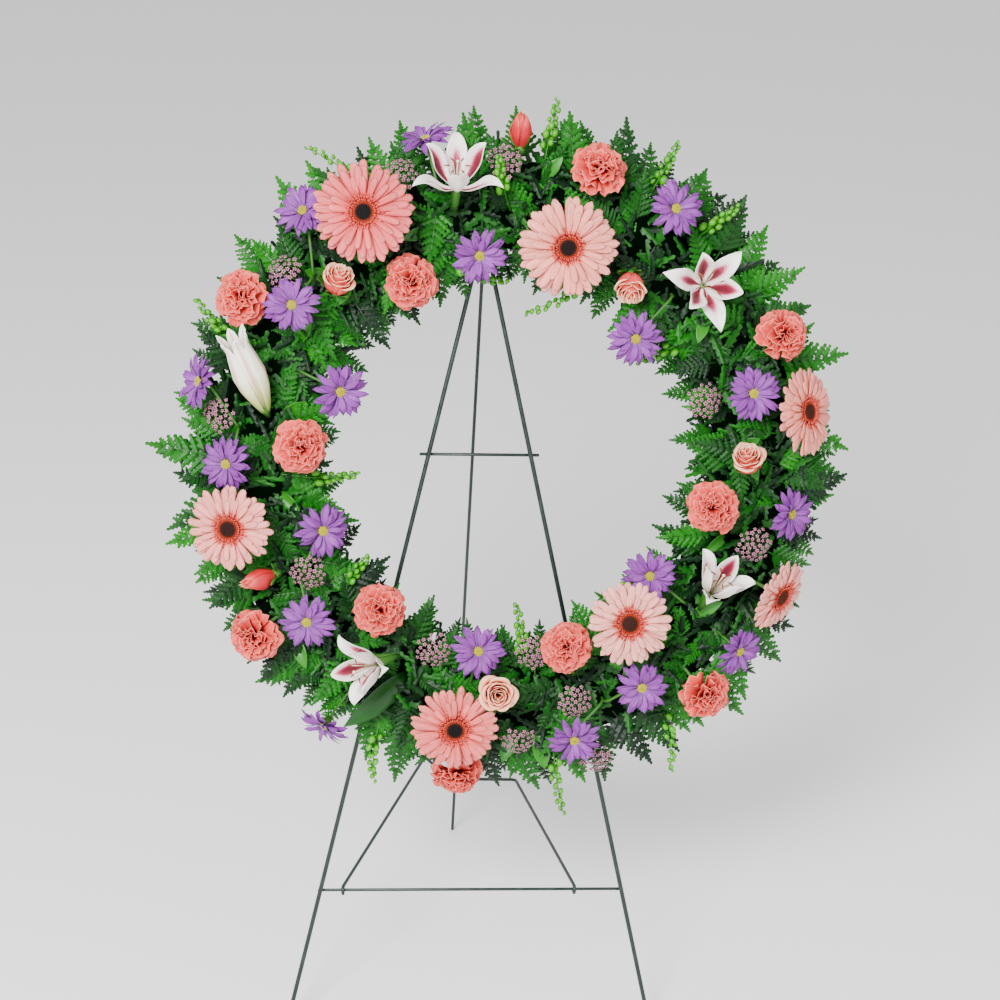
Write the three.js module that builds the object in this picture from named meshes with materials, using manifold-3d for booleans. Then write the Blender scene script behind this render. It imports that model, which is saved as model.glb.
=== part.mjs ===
// A funeral wreath on a folding wire easel: a ring of floral foam covered with fern and
// flowers, bound to the front of the leaning easel. Millimetres, +Z up, seen from -Y.
import * as THREE from 'three';
import { mergeVertices } from 'three/addons/utils/BufferGeometryUtils.js';
import Module from 'manifold-3d';

const wasm = await Module();
wasm.setup();

const { clamp, degToRad, seededRandom } = THREE.MathUtils;
const { cos, hypot, PI, sin, sqrt } = Math;
const vec = (x, y, z) => new THREE.Vector3(x, y, z);

// The easel. Heights up its front are measured along the leaning plane of the legs.
const LEAN = degToRad(12.7);
const GAP = 0.3;
const LEG_RADIUS = 2.5;
const BAR_RADIUS = 1.75;
const REAR_RADIUS = 2;
const FOOT_SPREAD = 417;
const LEG_TAPER = 0.2303;
const LEG_SLANT = Math.atan(LEG_TAPER);
const ARCH_RADIUS = 4;
const LOWER_BAR = { height: 159, half: 174 };
const UPPER_BAR = { height: 661, half: 66 };
const HINGE_BAR = { height: 872, half: 19 };
const BACK_FOOT = { x: -2, y: 417 };
const EYE_SWEEP = degToRad(262);
const EYE_STEPS = 8;
const BRACE = { leftHook: -146, rightHook: 118, leftCorner: -42, rightCorner: 78, height: 87, leftRise: 34 };
const HOOK_PLAY = 0.45;

// The ring of foam, and the bed of foliage over its front. Its own axes: x to the right, z up
// the leaning plane, -y out of the plane towards the viewer.
const RING = { x: 30, height: 664, inner: 232, outer: 308, back: LEG_RADIUS + GAP, front: 55, sides: 36 };
const BED = { inner: 225, outer: 316, back: 14, front: 63, bevel: 10, step: 15 };
const BED_MIDDLE = (RING.front + BED.front) / 2;
const SECTOR_EDGES = [15, 88, 136, 188, 253, 319];
const EDGE_MARGIN = 0.8;

// Blooms: clock angle in degrees and radius on the ring, height of the head out of the plane,
// tilt of its face from straight ahead, and the clock angle that it tilts towards where that
// isn't straight outwards.
const GERBERAS = [
  { clock: 328.7, radius: 309, height: 120, tilt: 6, reach: 54 },
  { clock: 12, radius: 237, height: 120, tilt: 4, towards: 180, reach: 53 },
  { clock: 79, radius: 317, height: 88, tilt: 46, reach: 49 },
  { clock: 257.3, radius: 305, height: 106, tilt: 14, reach: 47 },
  { clock: 191.5, radius: 289, height: 108, tilt: 8, reach: 48 },
  { clock: 142.5, radius: 205, height: 125, tilt: 6, towards: 330, reach: 46 },
  { clock: 115.8, radius: 325, height: 80, tilt: 48, reach: 42 },
];
const DAISIES = [
  [{ clock: 344, radius: 351, height: 68, tilt: 70 }],
  [{ clock: 319.7, radius: 344, height: 80, tilt: 34 }, { clock: 305.7, radius: 287, height: 108, tilt: 10 }],
  [{ clock: 349.6, radius: 225, height: 105, tilt: 12, towards: 170 }],
  [{ clock: 30.7, radius: 317, height: 105, tilt: 14 }],
  [{ clock: 42.5, radius: 186, height: 98, tilt: 10, towards: 222 }],
  [{ clock: 71.6, radius: 262, height: 115, tilt: 8 }],
  [{ clock: 284.1, radius: 340, height: 72, tilt: 58 }, { clock: 269.8, radius: 301, height: 92, tilt: 22 }],
  [{ clock: 293.1, radius: 199, height: 103, tilt: 14, towards: 113 }],
  [
    { clock: 250.8, radius: 212, height: 100, tilt: 10, towards: 90 },
    { clock: 232.6, radius: 272, height: 113, tilt: 8 },
  ],
  [{ clock: 99.6, radius: 305, height: 84, tilt: 36 }],
  [{ clock: 189.5, radius: 203, height: 98, tilt: 12, towards: 0 }],
  [{ clock: 149, radius: 274, height: 116, tilt: 6 }, { clock: 166.4, radius: 307, height: 96, tilt: 20 }],
  [{ clock: 128.8, radius: 320, height: 90, tilt: 34 }],
  [{ clock: 214, radius: 352, height: 62, tilt: 62 }],
  [{ clock: 128.4, radius: 192, height: 88, tilt: 16, towards: 300 }],
];
const CARNATIONS = [
  { clock: 301.3, radius: 334, height: 88, tilt: 20 },
  { clock: 330.1, radius: 222, height: 100, tilt: 14, towards: 150 },
  { clock: 14.7, radius: 322, height: 94, tilt: 32 },
  { clock: 63.2, radius: 316, height: 96, tilt: 30 },
  { clock: 275, radius: 224, height: 106, tilt: 10, towards: 95 },
  { clock: 100.9, radius: 216, height: 106, tilt: 12, towards: 280 },
  { clock: 221.7, radius: 209, height: 96, tilt: 12, towards: 41 },
  { clock: 235.4, radius: 330, height: 90, tilt: 30 },
  { clock: 162.6, radius: 203, height: 104, tilt: 12, towards: 342 },
  { clock: 139.3, radius: 328, height: 94, tilt: 30 },
  { clock: 188.8, radius: 346, height: 72, tilt: 40 },
];
const LILIES = [
  { clock: 347.5, radius: 303, height: 106, tilt: 32, towards: 0, open: 0.55, reach: 52 },
  { clock: 44.9, radius: 275, height: 112, tilt: 8, open: 0.95, reach: 46 },
  { clock: 214.6, radius: 258, height: 112, tilt: 34, towards: 262, open: 0.7, reach: 42 },
  { clock: 121, radius: 254, height: 100, tilt: 38, towards: 20, open: 0.6, reach: 38 },
];
const LILY_BUD = { clock: 288.5, radius: 292, height: 92, tilt: 66, towards: 338 };
const ROSES = [
  { clock: 316, radius: 268, height: 104, tilt: 22, towards: 60 },
  { clock: 0.3, radius: 348, height: 78, tilt: 64, bud: true },
  { clock: 31.6, radius: 225, height: 102, tilt: 16, towards: 300 },
  { clock: 87.5, radius: 248, height: 104, tilt: 20, towards: 20 },
  { clock: 245, radius: 294, height: 90, tilt: 58, towards: 258, bud: true },
  { clock: 183.3, radius: 240, height: 129, tilt: 8, towards: 0 },
];

// Sprays that stand out of the foliage. A filler is a flat head of small florets on a stalk, and
// a raceme a stalk with buds along it, heading for the clock angle given.
const FILLERS = [
  { clock: 357.3, radius: 320, height: 90 }, { clock: 337.7, radius: 326, height: 84 },
  { clock: 309.5, radius: 314, height: 84 }, { clock: 278.7, radius: 316, height: 72 },
  { clock: 70.6, radius: 214, height: 92 }, { clock: 107.8, radius: 276, height: 88 },
  { clock: 241.4, radius: 246, height: 88 }, { clock: 201.8, radius: 218, height: 88 },
  { clock: 172.5, radius: 206, height: 88 }, { clock: 164.4, radius: 268, height: 92 },
  { clock: 177.6, radius: 305, height: 84 }, { clock: 163, radius: 346, height: 66 },
];
const RACEMES = [
  { clock: 331, heading: 333, rise: 0.1, length: 92 },
  { clock: 359, heading: 352, rise: 0.75, length: 62, root: 262 },
  { clock: 5, heading: 14, rise: 0.05, length: 84 },
  { clock: 26, heading: 20, rise: 0.15, length: 78 },
  { clock: 38, heading: 50, rise: 0.35, length: 70, root: 290 },
  { clock: 338, heading: 130, rise: 0.05, length: 84, root: 242 },
  { clock: 22, heading: 208, rise: 0.05, length: 96, root: 242 },
  { clock: 294, heading: 292, rise: 0.1, length: 72 },
  { clock: 266, heading: 92, rise: 0.1, length: 78, root: 242 },
  { clock: 230, heading: 30, rise: 0.1, length: 62, root: 242 },
  { clock: 175, heading: 356, rise: 0.05, length: 84, root: 242 },
  { clock: 121, heading: 290, rise: 0.1, length: 78, root: 242 },
  { clock: 170, heading: 178, rise: 0.05, length: 92 },
  { clock: 149, heading: 140, rise: 0.1, length: 84 },
  { clock: 206, heading: 204, rise: 0.05, length: 84 },
  { clock: 55, heading: 236, rise: 0.1, length: 78, root: 242 },
];
const FROND = { thickness: 0.9, stalk: 1.8, leaflets: 3 };
const FROND_STEP = { outer: 7.5, inner: 11, face: 12 };

// How each kind of frond grows: where it is rooted (radius and height on the ring), how far round
// that place and its heading wander, how steeply it rises, its size, and how much that varies.
const OUTER_FRONDS = {
  radius: [300, 300], height: [59, 59], wander: 2, turn: 14, rise: [0.12, 0.34], length: 84, width: 36,
  size: [0.88, 1.08], droop: 0.3,
};
const OUTER_FLANK_FRONDS = {
  ...OUTER_FRONDS, radius: [312.5, 312.5], height: [26, 42], wander: 3, rise: [-0.2, 0.1], length: 64,
  width: 30,
};
const INNER_FRONDS = {
  radius: [242, 242], height: [59, 59], wander: 3, turn: 16, rise: [0.1, 0.4], length: 68, width: 28,
  size: [0.86, 1.06], droop: 0.3, inwards: true,
};
const INNER_FLANK_FRONDS = {
  ...INNER_FRONDS, radius: [227.5, 227.5], height: [28, 42], rise: [-0.15, 0.1], length: 50, width: 22,
};
const FACE_FRONDS = {
  radius: [252, 288], height: [59, 59], wander: 8, turn: 180, rise: [0.4, 0.7], length: 74, width: 27,
  size: [0.85, 1.1], droop: 0.35,
};
const BROAD_LEAF = { clock: 208, radius: 262, heading: 228, length: 112, width: 36 };

const material = (color, roughness, metalness = 0) => (
  new THREE.MeshStandardMaterial({ color, roughness, metalness }));
const ENAMEL = material(0x1d4a33, 0.45, 0.3);
const FOAM = material(0x2c5a34, 0.95);
const TIE = material(0x3a4f3c, 0.5, 0.6);
const LEAF = material(0x1d6b2c, 0.6);
const PINKS = [0xe88080, 0xf4b4a8, 0xf0a090, 0xf0a898, 0xec8888, 0xf4bcb0, 0xf0a898]
  .map((color) => material(color, 0.65));
const LAVENDER = material(0x9a74c4, 0.65);
const SALMON = material(0xea7a72, 0.75);
const LILY_WHITE = material(0xf2ecec, 0.5);
const BUD_CREAM = material(0xdfe4c4, 0.5);
const ROSE_PEACH = material(0xf0a090, 0.6);

const wreath = new THREE.Group();
const leaningPlane = new THREE.Group();
const easelAndWreath = new THREE.Group();
wreath.position.set(RING.x, 0, RING.height);
leaningPlane.rotation.x = -LEAN;
leaningPlane.add(wreath);
easelAndWreath.add(leaningPlane);

function addMesh(group, name, geometry, look) {
  const mesh = new THREE.Mesh(geometry, look);
  mesh.name = name;
  group.add(mesh);
  return mesh;
}

function closedGeometry(points, index) {
  const geometry = new THREE.BufferGeometry();
  const values = points.flatMap((p) => [p.x, p.y, p.z]);
  geometry.setAttribute('position', new THREE.Float32BufferAttribute(values, 3));
  geometry.setIndex(index);
  return geometry;
}

// Booleans
function toSolid(geometry) {
  const bare = geometry.clone();
  bare.deleteAttribute('normal');
  bare.deleteAttribute('uv');
  const merged = mergeVertices(bare, 1e-4);
  return new wasm.Manifold(new wasm.Mesh({
    numProp: 3,
    vertProperties: new Float32Array(merged.attributes.position.array),
    triVerts: new Uint32Array(merged.index.array),
  }));
}

function fuse(geometries) {
  const joined = geometries.map(toSolid).reduce((all, next) => all.add(next));
  const { vertProperties, triVerts } = joined.getMesh();
  const geometry = new THREE.BufferGeometry();
  geometry.setAttribute('position', new THREE.Float32BufferAttribute(vertProperties, 3));
  geometry.setIndex(Array.from(triVerts));
  return geometry;
}

// A path whose extrusion steps fall exactly on its corners.
class CornerPath extends THREE.Curve {
  constructor(corners) {
    super();
    this.corners = corners;
  }

  getPointAt(along) {
    return this.corners[Math.round(along * (this.corners.length - 1))].clone();
  }

  getPoint(along) {
    return this.getPointAt(along);
  }

  getTangentAt(along) {
    const i = Math.round(along * (this.corners.length - 1));
    const here = this.corners[i];
    const into = here.clone().sub(this.corners[Math.max(i - 1, 0)]).normalize();
    const out = this.corners[Math.min(i + 1, this.corners.length - 1)].clone().sub(here).normalize();
    return into.add(out).normalize();
  }
}

function wire(corners, radius, sides = 8) {
  const section = new THREE.Shape();
  for (let i = 0; i < sides; i++) {
    const angle = (2 * PI * (i + 0.5)) / sides;
    section[i ? 'lineTo' : 'moveTo'](radius * cos(angle), radius * sin(angle));
  }
  const path = new CornerPath(corners);
  return new THREE.ExtrudeGeometry(section, {
    steps: corners.length - 1, extrudePath: path, bevelEnabled: false,
  });
}

// An arc of corners in the YZ plane round (y, z), from one angle on through a sweep.
function arcYZ(x, y, z, radius, from, sweep, steps) {
  return Array.from({ length: steps + 1 }, (_, i) => {
    const angle = from + (sweep * i) / steps;
    return vec(x, y + radius * cos(angle), z + radius * sin(angle));
  });
}

// Easel
const legHalf = (height) => FOOT_SPREAD / 2 - LEG_TAPER * height;
const planePoint = (x, height, behind) => vec(
  x, height * sin(LEAN) + behind * cos(LEAN), height * cos(LEAN) - behind * sin(LEAN));

// One wire: its legs run straight into the small arch that joins them at the top.
function frontFrame() {
  const rise = 1 / hypot(1, LEG_TAPER) * cos(LEAN);
  const footHeight = LEG_RADIUS * sqrt(1 - rise * rise) / cos(LEAN);
  const archCentre = (FOOT_SPREAD / 2 - ARCH_RADIUS / cos(LEG_SLANT)) / LEG_TAPER;
  const arch = Array.from({ length: 9 }, (_, i) => {
    const angle = PI - LEG_SLANT - ((PI - 2 * LEG_SLANT) * i) / 8;
    return vec(ARCH_RADIUS * cos(angle), 0, archCentre + ARCH_RADIUS * sin(angle));
  });
  const half = legHalf(footHeight);
  return wire([vec(-half, 0, footHeight), ...arch, vec(half, 0, footHeight)], LEG_RADIUS);
}

function crossbar({ height, half }) {
  const behind = LEG_RADIUS + BAR_RADIUS + GAP;
  return wire([vec(-half, behind, height), vec(half, behind, height)], BAR_RADIUS);
}

addMesh(leaningPlane, 'front_frame', frontFrame(), ENAMEL);
addMesh(leaningPlane, 'upper_crossbar', crossbar(UPPER_BAR), ENAMEL);
addMesh(leaningPlane, 'lower_crossbar', crossbar(LOWER_BAR), ENAMEL);
addMesh(leaningPlane, 'hinge_bar', crossbar(HINGE_BAR), ENAMEL);

// The back leg hangs by an eye on the hinge bar.
const barDepth = LEG_RADIUS + BAR_RADIUS + GAP;
const eyeRadius = BAR_RADIUS + HOOK_PLAY + REAR_RADIUS;
const hinge = planePoint(0, HINGE_BAR.height, barDepth);
const splay = Math.atan2(BACK_FOOT.y - hinge.y, hinge.z);
const backFoot = vec(BACK_FOOT.x, BACK_FOOT.y + eyeRadius, REAR_RADIUS * sin(splay));

function backLeg() {
  const eye = arcYZ(0, hinge.y, hinge.z, eyeRadius, splay, EYE_SWEEP, EYE_STEPS);
  return wire([backFoot, ...eye], REAR_RADIUS, 6);
}

// The brace hooks over the lower crossbar and passes behind the back leg.
function brace() {
  const { y, z } = planePoint(0, LOWER_BAR.height, barDepth);
  const legAt = (height) => backFoot.y - (height - backFoot.z) * Math.tan(splay);
  const rearY = legAt(BRACE.height) + (2 * REAR_RADIUS + GAP) / cos(splay);
  const leftCorner = vec(BRACE.leftCorner, rearY, BRACE.height + BRACE.leftRise);
  const rightCorner = vec(BRACE.rightCorner, rearY, BRACE.height);
  const arm = (x, corner) => {
    const slope = Math.atan2(corner.z - z, corner.y - y);
    return arcYZ(x, y, z, eyeRadius, PI / 2 + slope, EYE_SWEEP, EYE_STEPS).reverse();
  };
  const towards = (from, to, distance) => from.clone().lerp(to, distance / from.distanceTo(to));
  const left = arm(BRACE.leftHook, leftCorner);
  const right = arm(BRACE.rightHook, rightCorner);
  const leftNotch = vec(BACK_FOOT.x - 6, rearY, BRACE.height + 1);
  return wire([
    ...left, towards(leftCorner, left.at(-1), 6), towards(leftCorner, leftNotch, 4), leftNotch,
    towards(rightCorner, leftNotch, 5), towards(rightCorner, right.at(-1), 6), ...right.reverse(),
  ], REAR_RADIUS, 6);
}

addMesh(easelAndWreath, 'back_leg', backLeg(), ENAMEL);
addMesh(easelAndWreath, 'brace', brace(), ENAMEL);

// Foam ring: a lathed square section.
function foamRing() {
  const { inner, outer, back, front } = RING;
  const section = [[inner, back], [outer, back], [outer, front], [inner, front], [inner, back]]
    .map(([radius, out]) => new THREE.Vector2(radius, out));
  return new THREE.LatheGeometry(section, RING.sides).rotateX(PI);
}
addMesh(wreath, 'foam_ring', foamRing(), FOAM);

// Places and directions on the ring
const FORWARD = vec(0, -1, 0);
const outward = (clock) => vec(sin(degToRad(clock)), 0, cos(degToRad(clock)));
const spot = (clock, radius, height) => outward(clock).multiplyScalar(radius).setY(-height);
const clockOf = (p) => (THREE.MathUtils.radToDeg(Math.atan2(p.x, p.z)) + 360) % 360;
const toForward = new THREE.Quaternion().setFromUnitVectors(vec(0, 0, 1), FORWARD);
const facing = (direction) => (
  new THREE.Quaternion().setFromUnitVectors(FORWARD, direction).multiply(toForward));

function headFrame({ clock, radius, height, tilt = 0, towards = clock }) {
  const lean = degToRad(tilt);
  const axis = FORWARD.clone().multiplyScalar(cos(lean)).addScaledVector(outward(towards), sin(lean));
  return { centre: spot(clock, radius, height), axis, turn: facing(axis) };
}

// A ring of points round a centre. Radius and height can change from point to point.
function ringAt(centre, turn, sides, radius, height = 0, phase = 0) {
  const value = (given, i) => (typeof given === 'function' ? given(i) : given);
  return Array.from({ length: sides }, (_, i) => {
    const angle = phase + (2 * PI * i) / sides;
    const r = value(radius, i);
    return vec(r * cos(angle), r * sin(angle), value(height, i)).applyQuaternion(turn).add(centre);
  });
}

// A petal grown out of one face of a skin: rows of points across it, from its base to its tip.
function growPetal(points, index, low, high, rows) {
  const face = (...corners) => { if (new Set(corners).size === 3) index.push(...corners); };
  const join = (inner, outer, turned) => {
    let [i, j] = [0, 0];
    while (i + 1 < inner.length || j + 1 < outer.length) {
      const stepInner = j + 1 === outer.length
        || (i + 1 < inner.length && (i + 1) / (inner.length - 1) <= (j + 1) / (outer.length - 1));
      const corners = stepInner ? [inner[i], inner[i + 1], outer[j]] : [inner[i], outer[j + 1], outer[j]];
      face(...(turned ? corners.reverse() : corners));
      if (stepInner) i++;
      else j++;
    }
  };
  const edge = (a, b, c, d) => { face(a, b, c); face(a, c, d); };
  for (const { below, above } of rows) {
    const lower = below.map((p) => points.push(p) - 1);
    const upper = above ? above.map((p) => points.push(p) - 1) : lower;
    join(low, lower, false);
    join(high, upper, true);
    edge(high[0], low[0], lower[0], upper[0]);
    edge(low.at(-1), high.at(-1), upper.at(-1), lower.at(-1));
    [low, high] = [lower, upper];
  }
  for (let i = 0; i + 1 < low.length; i++) edge(low[i], low[i + 1], high[i + 1], high[i]);
}

// A closed skin over rings of points, the first and last of them capped. A ring may have a
// whole number of times the points of the one before it. petals gives, for the band above a
// ring, the rows of the petal that each of its faces grows.
function loft(rings, petals = {}) {
  const index = [];
  const points = rings.flat();
  let start = 0;
  for (let k = 0; k + 1 < rings.length; k++) {
    const [count, above] = [rings[k].length, rings[k + 1].length];
    for (let i = 0; i < above; i++) {
      const [d, c] = [start + count + i, start + count + ((i + 1) % above)];
      const [a, b] = [i, (i + 1) % above].map((j) => start + Math.floor((j * count) / above));
      if (petals[k]) growPetal(points, index, [a, b], [d, c], petals[k](i));
      else if (a === b) index.push(a, c, d);
      else index.push(a, b, c, a, c, d);
    }
    start += count;
  }
  for (let i = 1; i + 1 < rings[0].length; i++) index.push(0, i + 1, i);
  for (let i = 1; i + 1 < rings.at(-1).length; i++) index.push(start, start + i, start + i + 1);
  return closedGeometry(points, index);
}

// A thin closed sheet: the same triangles on both faces, and walls round its free edges.
function sheet(points, faces, up, thickness) {
  const half = up.clone().multiplyScalar(thickness / 2);
  const count = points.length;
  const index = [];
  const free = new Map();
  for (const [a, b, c] of faces) {
    index.push(a, b, c, count + c, count + b, count + a);
    for (const [from, to] of [[a, b], [b, c], [c, a]]) {
      if (!free.delete(`${to}-${from}`)) free.set(`${from}-${to}`, [from, to]);
    }
  }
  for (const [from, to] of free.values()) index.push(to, from, count + from, to, count + from, count + to);
  const faceOf = (offset) => points.map((p) => p.clone().add(offset));
  return closedGeometry([...faceOf(half), ...faceOf(half.clone().negate())], index);
}

// The rows of each petal in a layer of equal, straight petals: here only the row at its tip.
function straightPetals({ centre, turn }, { petals, reach, fill, tip, thickness, phase = 0 }) {
  const step = (2 * PI) / petals;
  const at = (angle, height) => (
    vec(reach * cos(angle), reach * sin(angle), height).applyQuaternion(turn).add(centre));
  return (i) => {
    const sides = [-1, 1].map((side) => (i + 0.5 + phase + (side * fill) / 2) * step);
    const [below, above] = [tip, tip + thickness].map((height) => sides.map((angle) => at(angle, height)));
    return [{ below, above }];
  };
}

// The stem of a head, as rings from the bed up to the head's base.
const NEAR = 246;
const FAR = 294;
const stems = [];
const heads = [];
function stemRings(frame, depth, sides, radius, root = null) {
  const clock = clockOf(frame.centre);
  const start = root ?? spot(clock, clamp(hypot(frame.centre.x, frame.centre.z), NEAR, FAR), BED.front + GAP);
  const base = frame.centre.clone().addScaledVector(frame.axis, -depth);
  const knee = start.clone().addScaledVector(FORWARD, start.distanceTo(base) * 0.4);
  stems.push({ from: start, to: knee, radius }, { from: knee, to: base, radius });
  const kneeAxis = base.clone().sub(start).normalize();
  return [
    ringAt(start, facing(FORWARD), sides, radius),
    ringAt(knee, facing(kneeAxis), sides, radius),
    ringAt(base, frame.turn, sides, radius),
  ];
}

// Zones are the stretches of a head that foliage keeps out of: radius, from low to high.
function keepClear(frame, zones) {
  heads.push({ ...frame, back: frame.turn.clone().invert(), zones });
}

const profile = (frame, sides, rings) => rings.map(([radius, height]) => (
  ringAt(frame.centre, frame.turn, sides, radius, height)));
const ruffle = (value, swing, phase) => (i) => value + ((i + phase) % 2 ? swing : -swing);

function gerbera(spec) {
  const frame = headFrame(spec);
  const { reach } = spec;
  const petals = 12;
  const half = PI / petals;
  const stem = stemRings(frame, 18, 6, 2.4);
  const head = [
    [12, -5], [15, -1.6], [15, 0], [14.5, 1.6, half], [14.5, 3.2, half], [ruffle(18.5, 1.5, 0), 6.5], [10, 8],
  ].map(([radius, height, phase = 0]) => ringAt(frame.centre, frame.turn, petals, radius, height, phase));
  keepClear(frame, [[reach + 1.5, -4, 9], [14, -20, -4]]);
  return loft([...stem, ...head], {
    4: straightPetals(frame, { petals, reach, fill: 0.8, tip: 0.4, thickness: 1 }),
    6: straightPetals(frame, { petals, reach: reach * 0.8, fill: 0.72, tip: 6, thickness: 1, phase: 0.5 }),
  });
}

function daisyHead(spec, root) {
  const frame = headFrame(spec);
  const petals = 9;
  const stem = stemRings(frame, 11, 3, 1.7, root);
  keepClear(frame, [[33, -3, 6], [7, -12, -3]]);
  return loft([...stem, ...profile(frame, petals, [[6, -3], [7.5, 0], [7.5, 1.8], [4, 5]])], {
    4: straightPetals(frame, { petals, reach: 32, fill: 0.62, tip: 1.6, thickness: 0.9 }),
  });
}

// Two daisies on one spray share a root: the second stem starts inside the foot of the first.
function daisySpray(specs) {
  if (specs.length === 1) return daisyHead(specs[0]);
  const [first, second] = specs
    .map(({ clock, radius }) => spot(clock, clamp(radius, NEAR, FAR), BED.front + GAP));
  const root = first.clone().lerp(second, 0.5);
  return fuse(specs.map((spec) => daisyHead(spec, root)));
}

function carnation(spec) {
  const frame = headFrame(spec);
  keepClear(frame, [[32, -10, 20], [9, -30, -10]]);
  return loft([
    ...stemRings(frame, 30, 5, 2),
    ...profile(frame, 10, [
      [6, -24], [7.5, -11], [ruffle(28, 2, 0), ruffle(-3, 3, 1)], [20, 3],
      [ruffle(24, 2, 1), ruffle(8, 2.5, 0)], [14, 11], [ruffle(15.5, 2, 0), ruffle(16, 2, 1)], [5, 18],
    ]),
  ]);
}

function rose(spec) {
  const frame = headFrame(spec);
  const slim = spec.bud ? 0.72 : 1;
  const tall = spec.bud ? 1.25 : 1;
  const rows = [
    [5, -17], [13, -12], [ruffle(20, 1.2, 0), 2], [14.5, 4], [ruffle(13.5, 1, 1), 10], [8, 11.5],
    [ruffle(7, 1, 0), 15], [2, 15.5],
  ].map(([radius, height]) => [
    (i) => slim * (typeof radius === 'function' ? radius(i) : radius), height * tall,
  ]);
  keepClear(frame, [[23 * slim, -14 * tall, 16 * tall], [7, -26, -12]]);
  return loft([...stemRings(frame, 24 * tall, 4, 2), ...profile(frame, 8, rows)]);
}

// The tepals of a lily arch out from its throat. The more open the bloom, the flatter they lie.
function tepalRows(frame, { reach, open }) {
  return (i) => {
    const outer = i % 2;
    const closed = 1 - open;
    const length = outer ? reach : reach * 0.94;
    const width = outer ? 8.5 : 7;
    const lift = outer ? 1.5 : 0;
    const put = (out, side, height) => vec(out, side, height)
      .applyAxisAngle(vec(0, 0, 1), ((i + 0.5) * PI) / 3).applyQuaternion(frame.turn).add(frame.centre);
    const row = (out, height, half) => {
      const across = (rise) => [-1, 0, 1]
        .map((side) => put(out, side * half, height + rise - (side ? 0 : 1.5)));
      return { below: across(0), above: across(1.3) };
    };
    return [
      row(0.42 * length, 4 + lift + 12 * closed, width),
      row(0.78 * length * (1 - 0.4 * closed), 14 + lift + 22 * closed, width * 0.85),
      { below: [put(length * (1 - 0.5 * closed), 0, 10 + lift + 32 * closed)] },
    ];
  };
}

function lily(spec) {
  const frame = headFrame(spec);
  const { open, reach } = spec;
  const core = profile(frame, 6, [[4.5, -26], [6.5, -14], [5.5, -11], [3, -8]]);
  const span = reach * (0.55 + 0.45 * open) + 3;
  keepClear(frame, [[span, 0, 24 + 30 * (1 - open)], [reach * 0.5, -10, 0], [9, -42, -10]]);
  return loft([...stemRings(frame, 40, 3, 2.2), ...core], { 4: tepalRows(frame, spec) });
}

// The bud lies over, so its stem comes up under its base.
const BUD_DEPTH = 54;
function lilyBud(spec) {
  const frame = headFrame(spec);
  const rib = (value) => ruffle(value, value * 0.08, 0);
  const base = frame.centre.clone().addScaledVector(frame.axis, -BUD_DEPTH);
  const root = spot(clockOf(base), hypot(base.x, base.z), BED.front + GAP);
  keepClear(frame, [[20, -34, 52], [8, -56, -34]]);
  return loft([
    ...stemRings(frame, BUD_DEPTH, 4, 2.2, root),
    ...profile(frame, 8, [
      [6, -44], [rib(12), -24], [rib(18), 2], [rib(16), 22], [rib(11), 38], [ruffle(5, 2, 0), 50],
    ]),
  ]);
}

GERBERAS.forEach((spec, i) => addMesh(wreath, `gerbera_${i + 1}`, gerbera(spec), PINKS[i]));
DAISIES.forEach((specs, i) => addMesh(wreath, `daisy_spray_${i + 1}`, daisySpray(specs), LAVENDER));
CARNATIONS.forEach((spec, i) => addMesh(wreath, `carnation_${i + 1}`, carnation(spec), SALMON));
LILIES.forEach((spec, i) => addMesh(wreath, `lily_${i + 1}`, lily(spec), LILY_WHITE));
addMesh(wreath, 'lily_bud', lilyBud(LILY_BUD), BUD_CREAM);
ROSES.forEach((spec, i) => {
  addMesh(wreath, `${spec.bud ? 'rosebud' : 'rose'}_${i + 1}`, rose(spec), ROSE_PEACH);
});

// Tie wires: closed loops round the foam and what it is bound to, at the arch and at both legs.
const TIE_RADIUS = 0.9;
const TIE_CLOCKS = [352.2, 210.6, 161.7];
function tieWire(clock) {
  const clear = TIE_RADIUS + GAP;
  const near = BED.inner * cos(degToRad(BED.step / 2)) - clear;
  const far = BED.outer + clear;
  const [back, front, shoulder] = [-LEG_RADIUS - clear, BED.front + clear, BED.front - BED.bevel + clear];
  const corners = [
    [near, back], [far, back], [far, shoulder],
    [far - BED.bevel, front], [near + BED.bevel, front], [near, shoulder],
  ];
  const section = ringAt(vec(0, 0, 0), new THREE.Quaternion(), 4, TIE_RADIUS);
  const index = [];
  const points = corners.flatMap(([r, out], k) => {
    const [before, after] = [corners[(k + 5) % 6], corners[(k + 1) % 6]];
    const along = new THREE.Vector2(after[0] - before[0], after[1] - before[1]).normalize();
    return section.map((p) => {
      const point = vec(p.y, -(out - along.x * p.x), r + along.y * p.x);
      return point.applyAxisAngle(vec(0, 1, 0), degToRad(clock));
    });
  });
  corners.forEach((_, k) => section.forEach((__, i) => {
    const [a, b] = [4 * k + i, 4 * k + ((i + 1) % 4)];
    const [c, d] = [4 * ((k + 1) % 6) + ((i + 1) % 4), 4 * ((k + 1) % 6) + i];
    index.push(a, c, b, a, d, c);
  }));
  return closedGeometry(points, index);
}

// Foliage
let draw = 7;
const random = (low, high) => low + (high - low) * seededRandom(draw++);

const blend = (p, q, t) => p.clone().lerp(q, t);
function samplesOf(points, faces) {
  const samples = [];
  for (const [a, b, c] of faces) {
    const steps = Math.ceil(Math.max(points[a].distanceTo(points[b]), points[a].distanceTo(points[c])) / 3);
    for (let i = 0; i <= steps; i++) {
      for (let j = 0; j <= steps; j++) {
        samples.push(blend(blend(points[a], points[b], i / steps), points[c], j / steps));
      }
    }
  }
  return samples;
}

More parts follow.
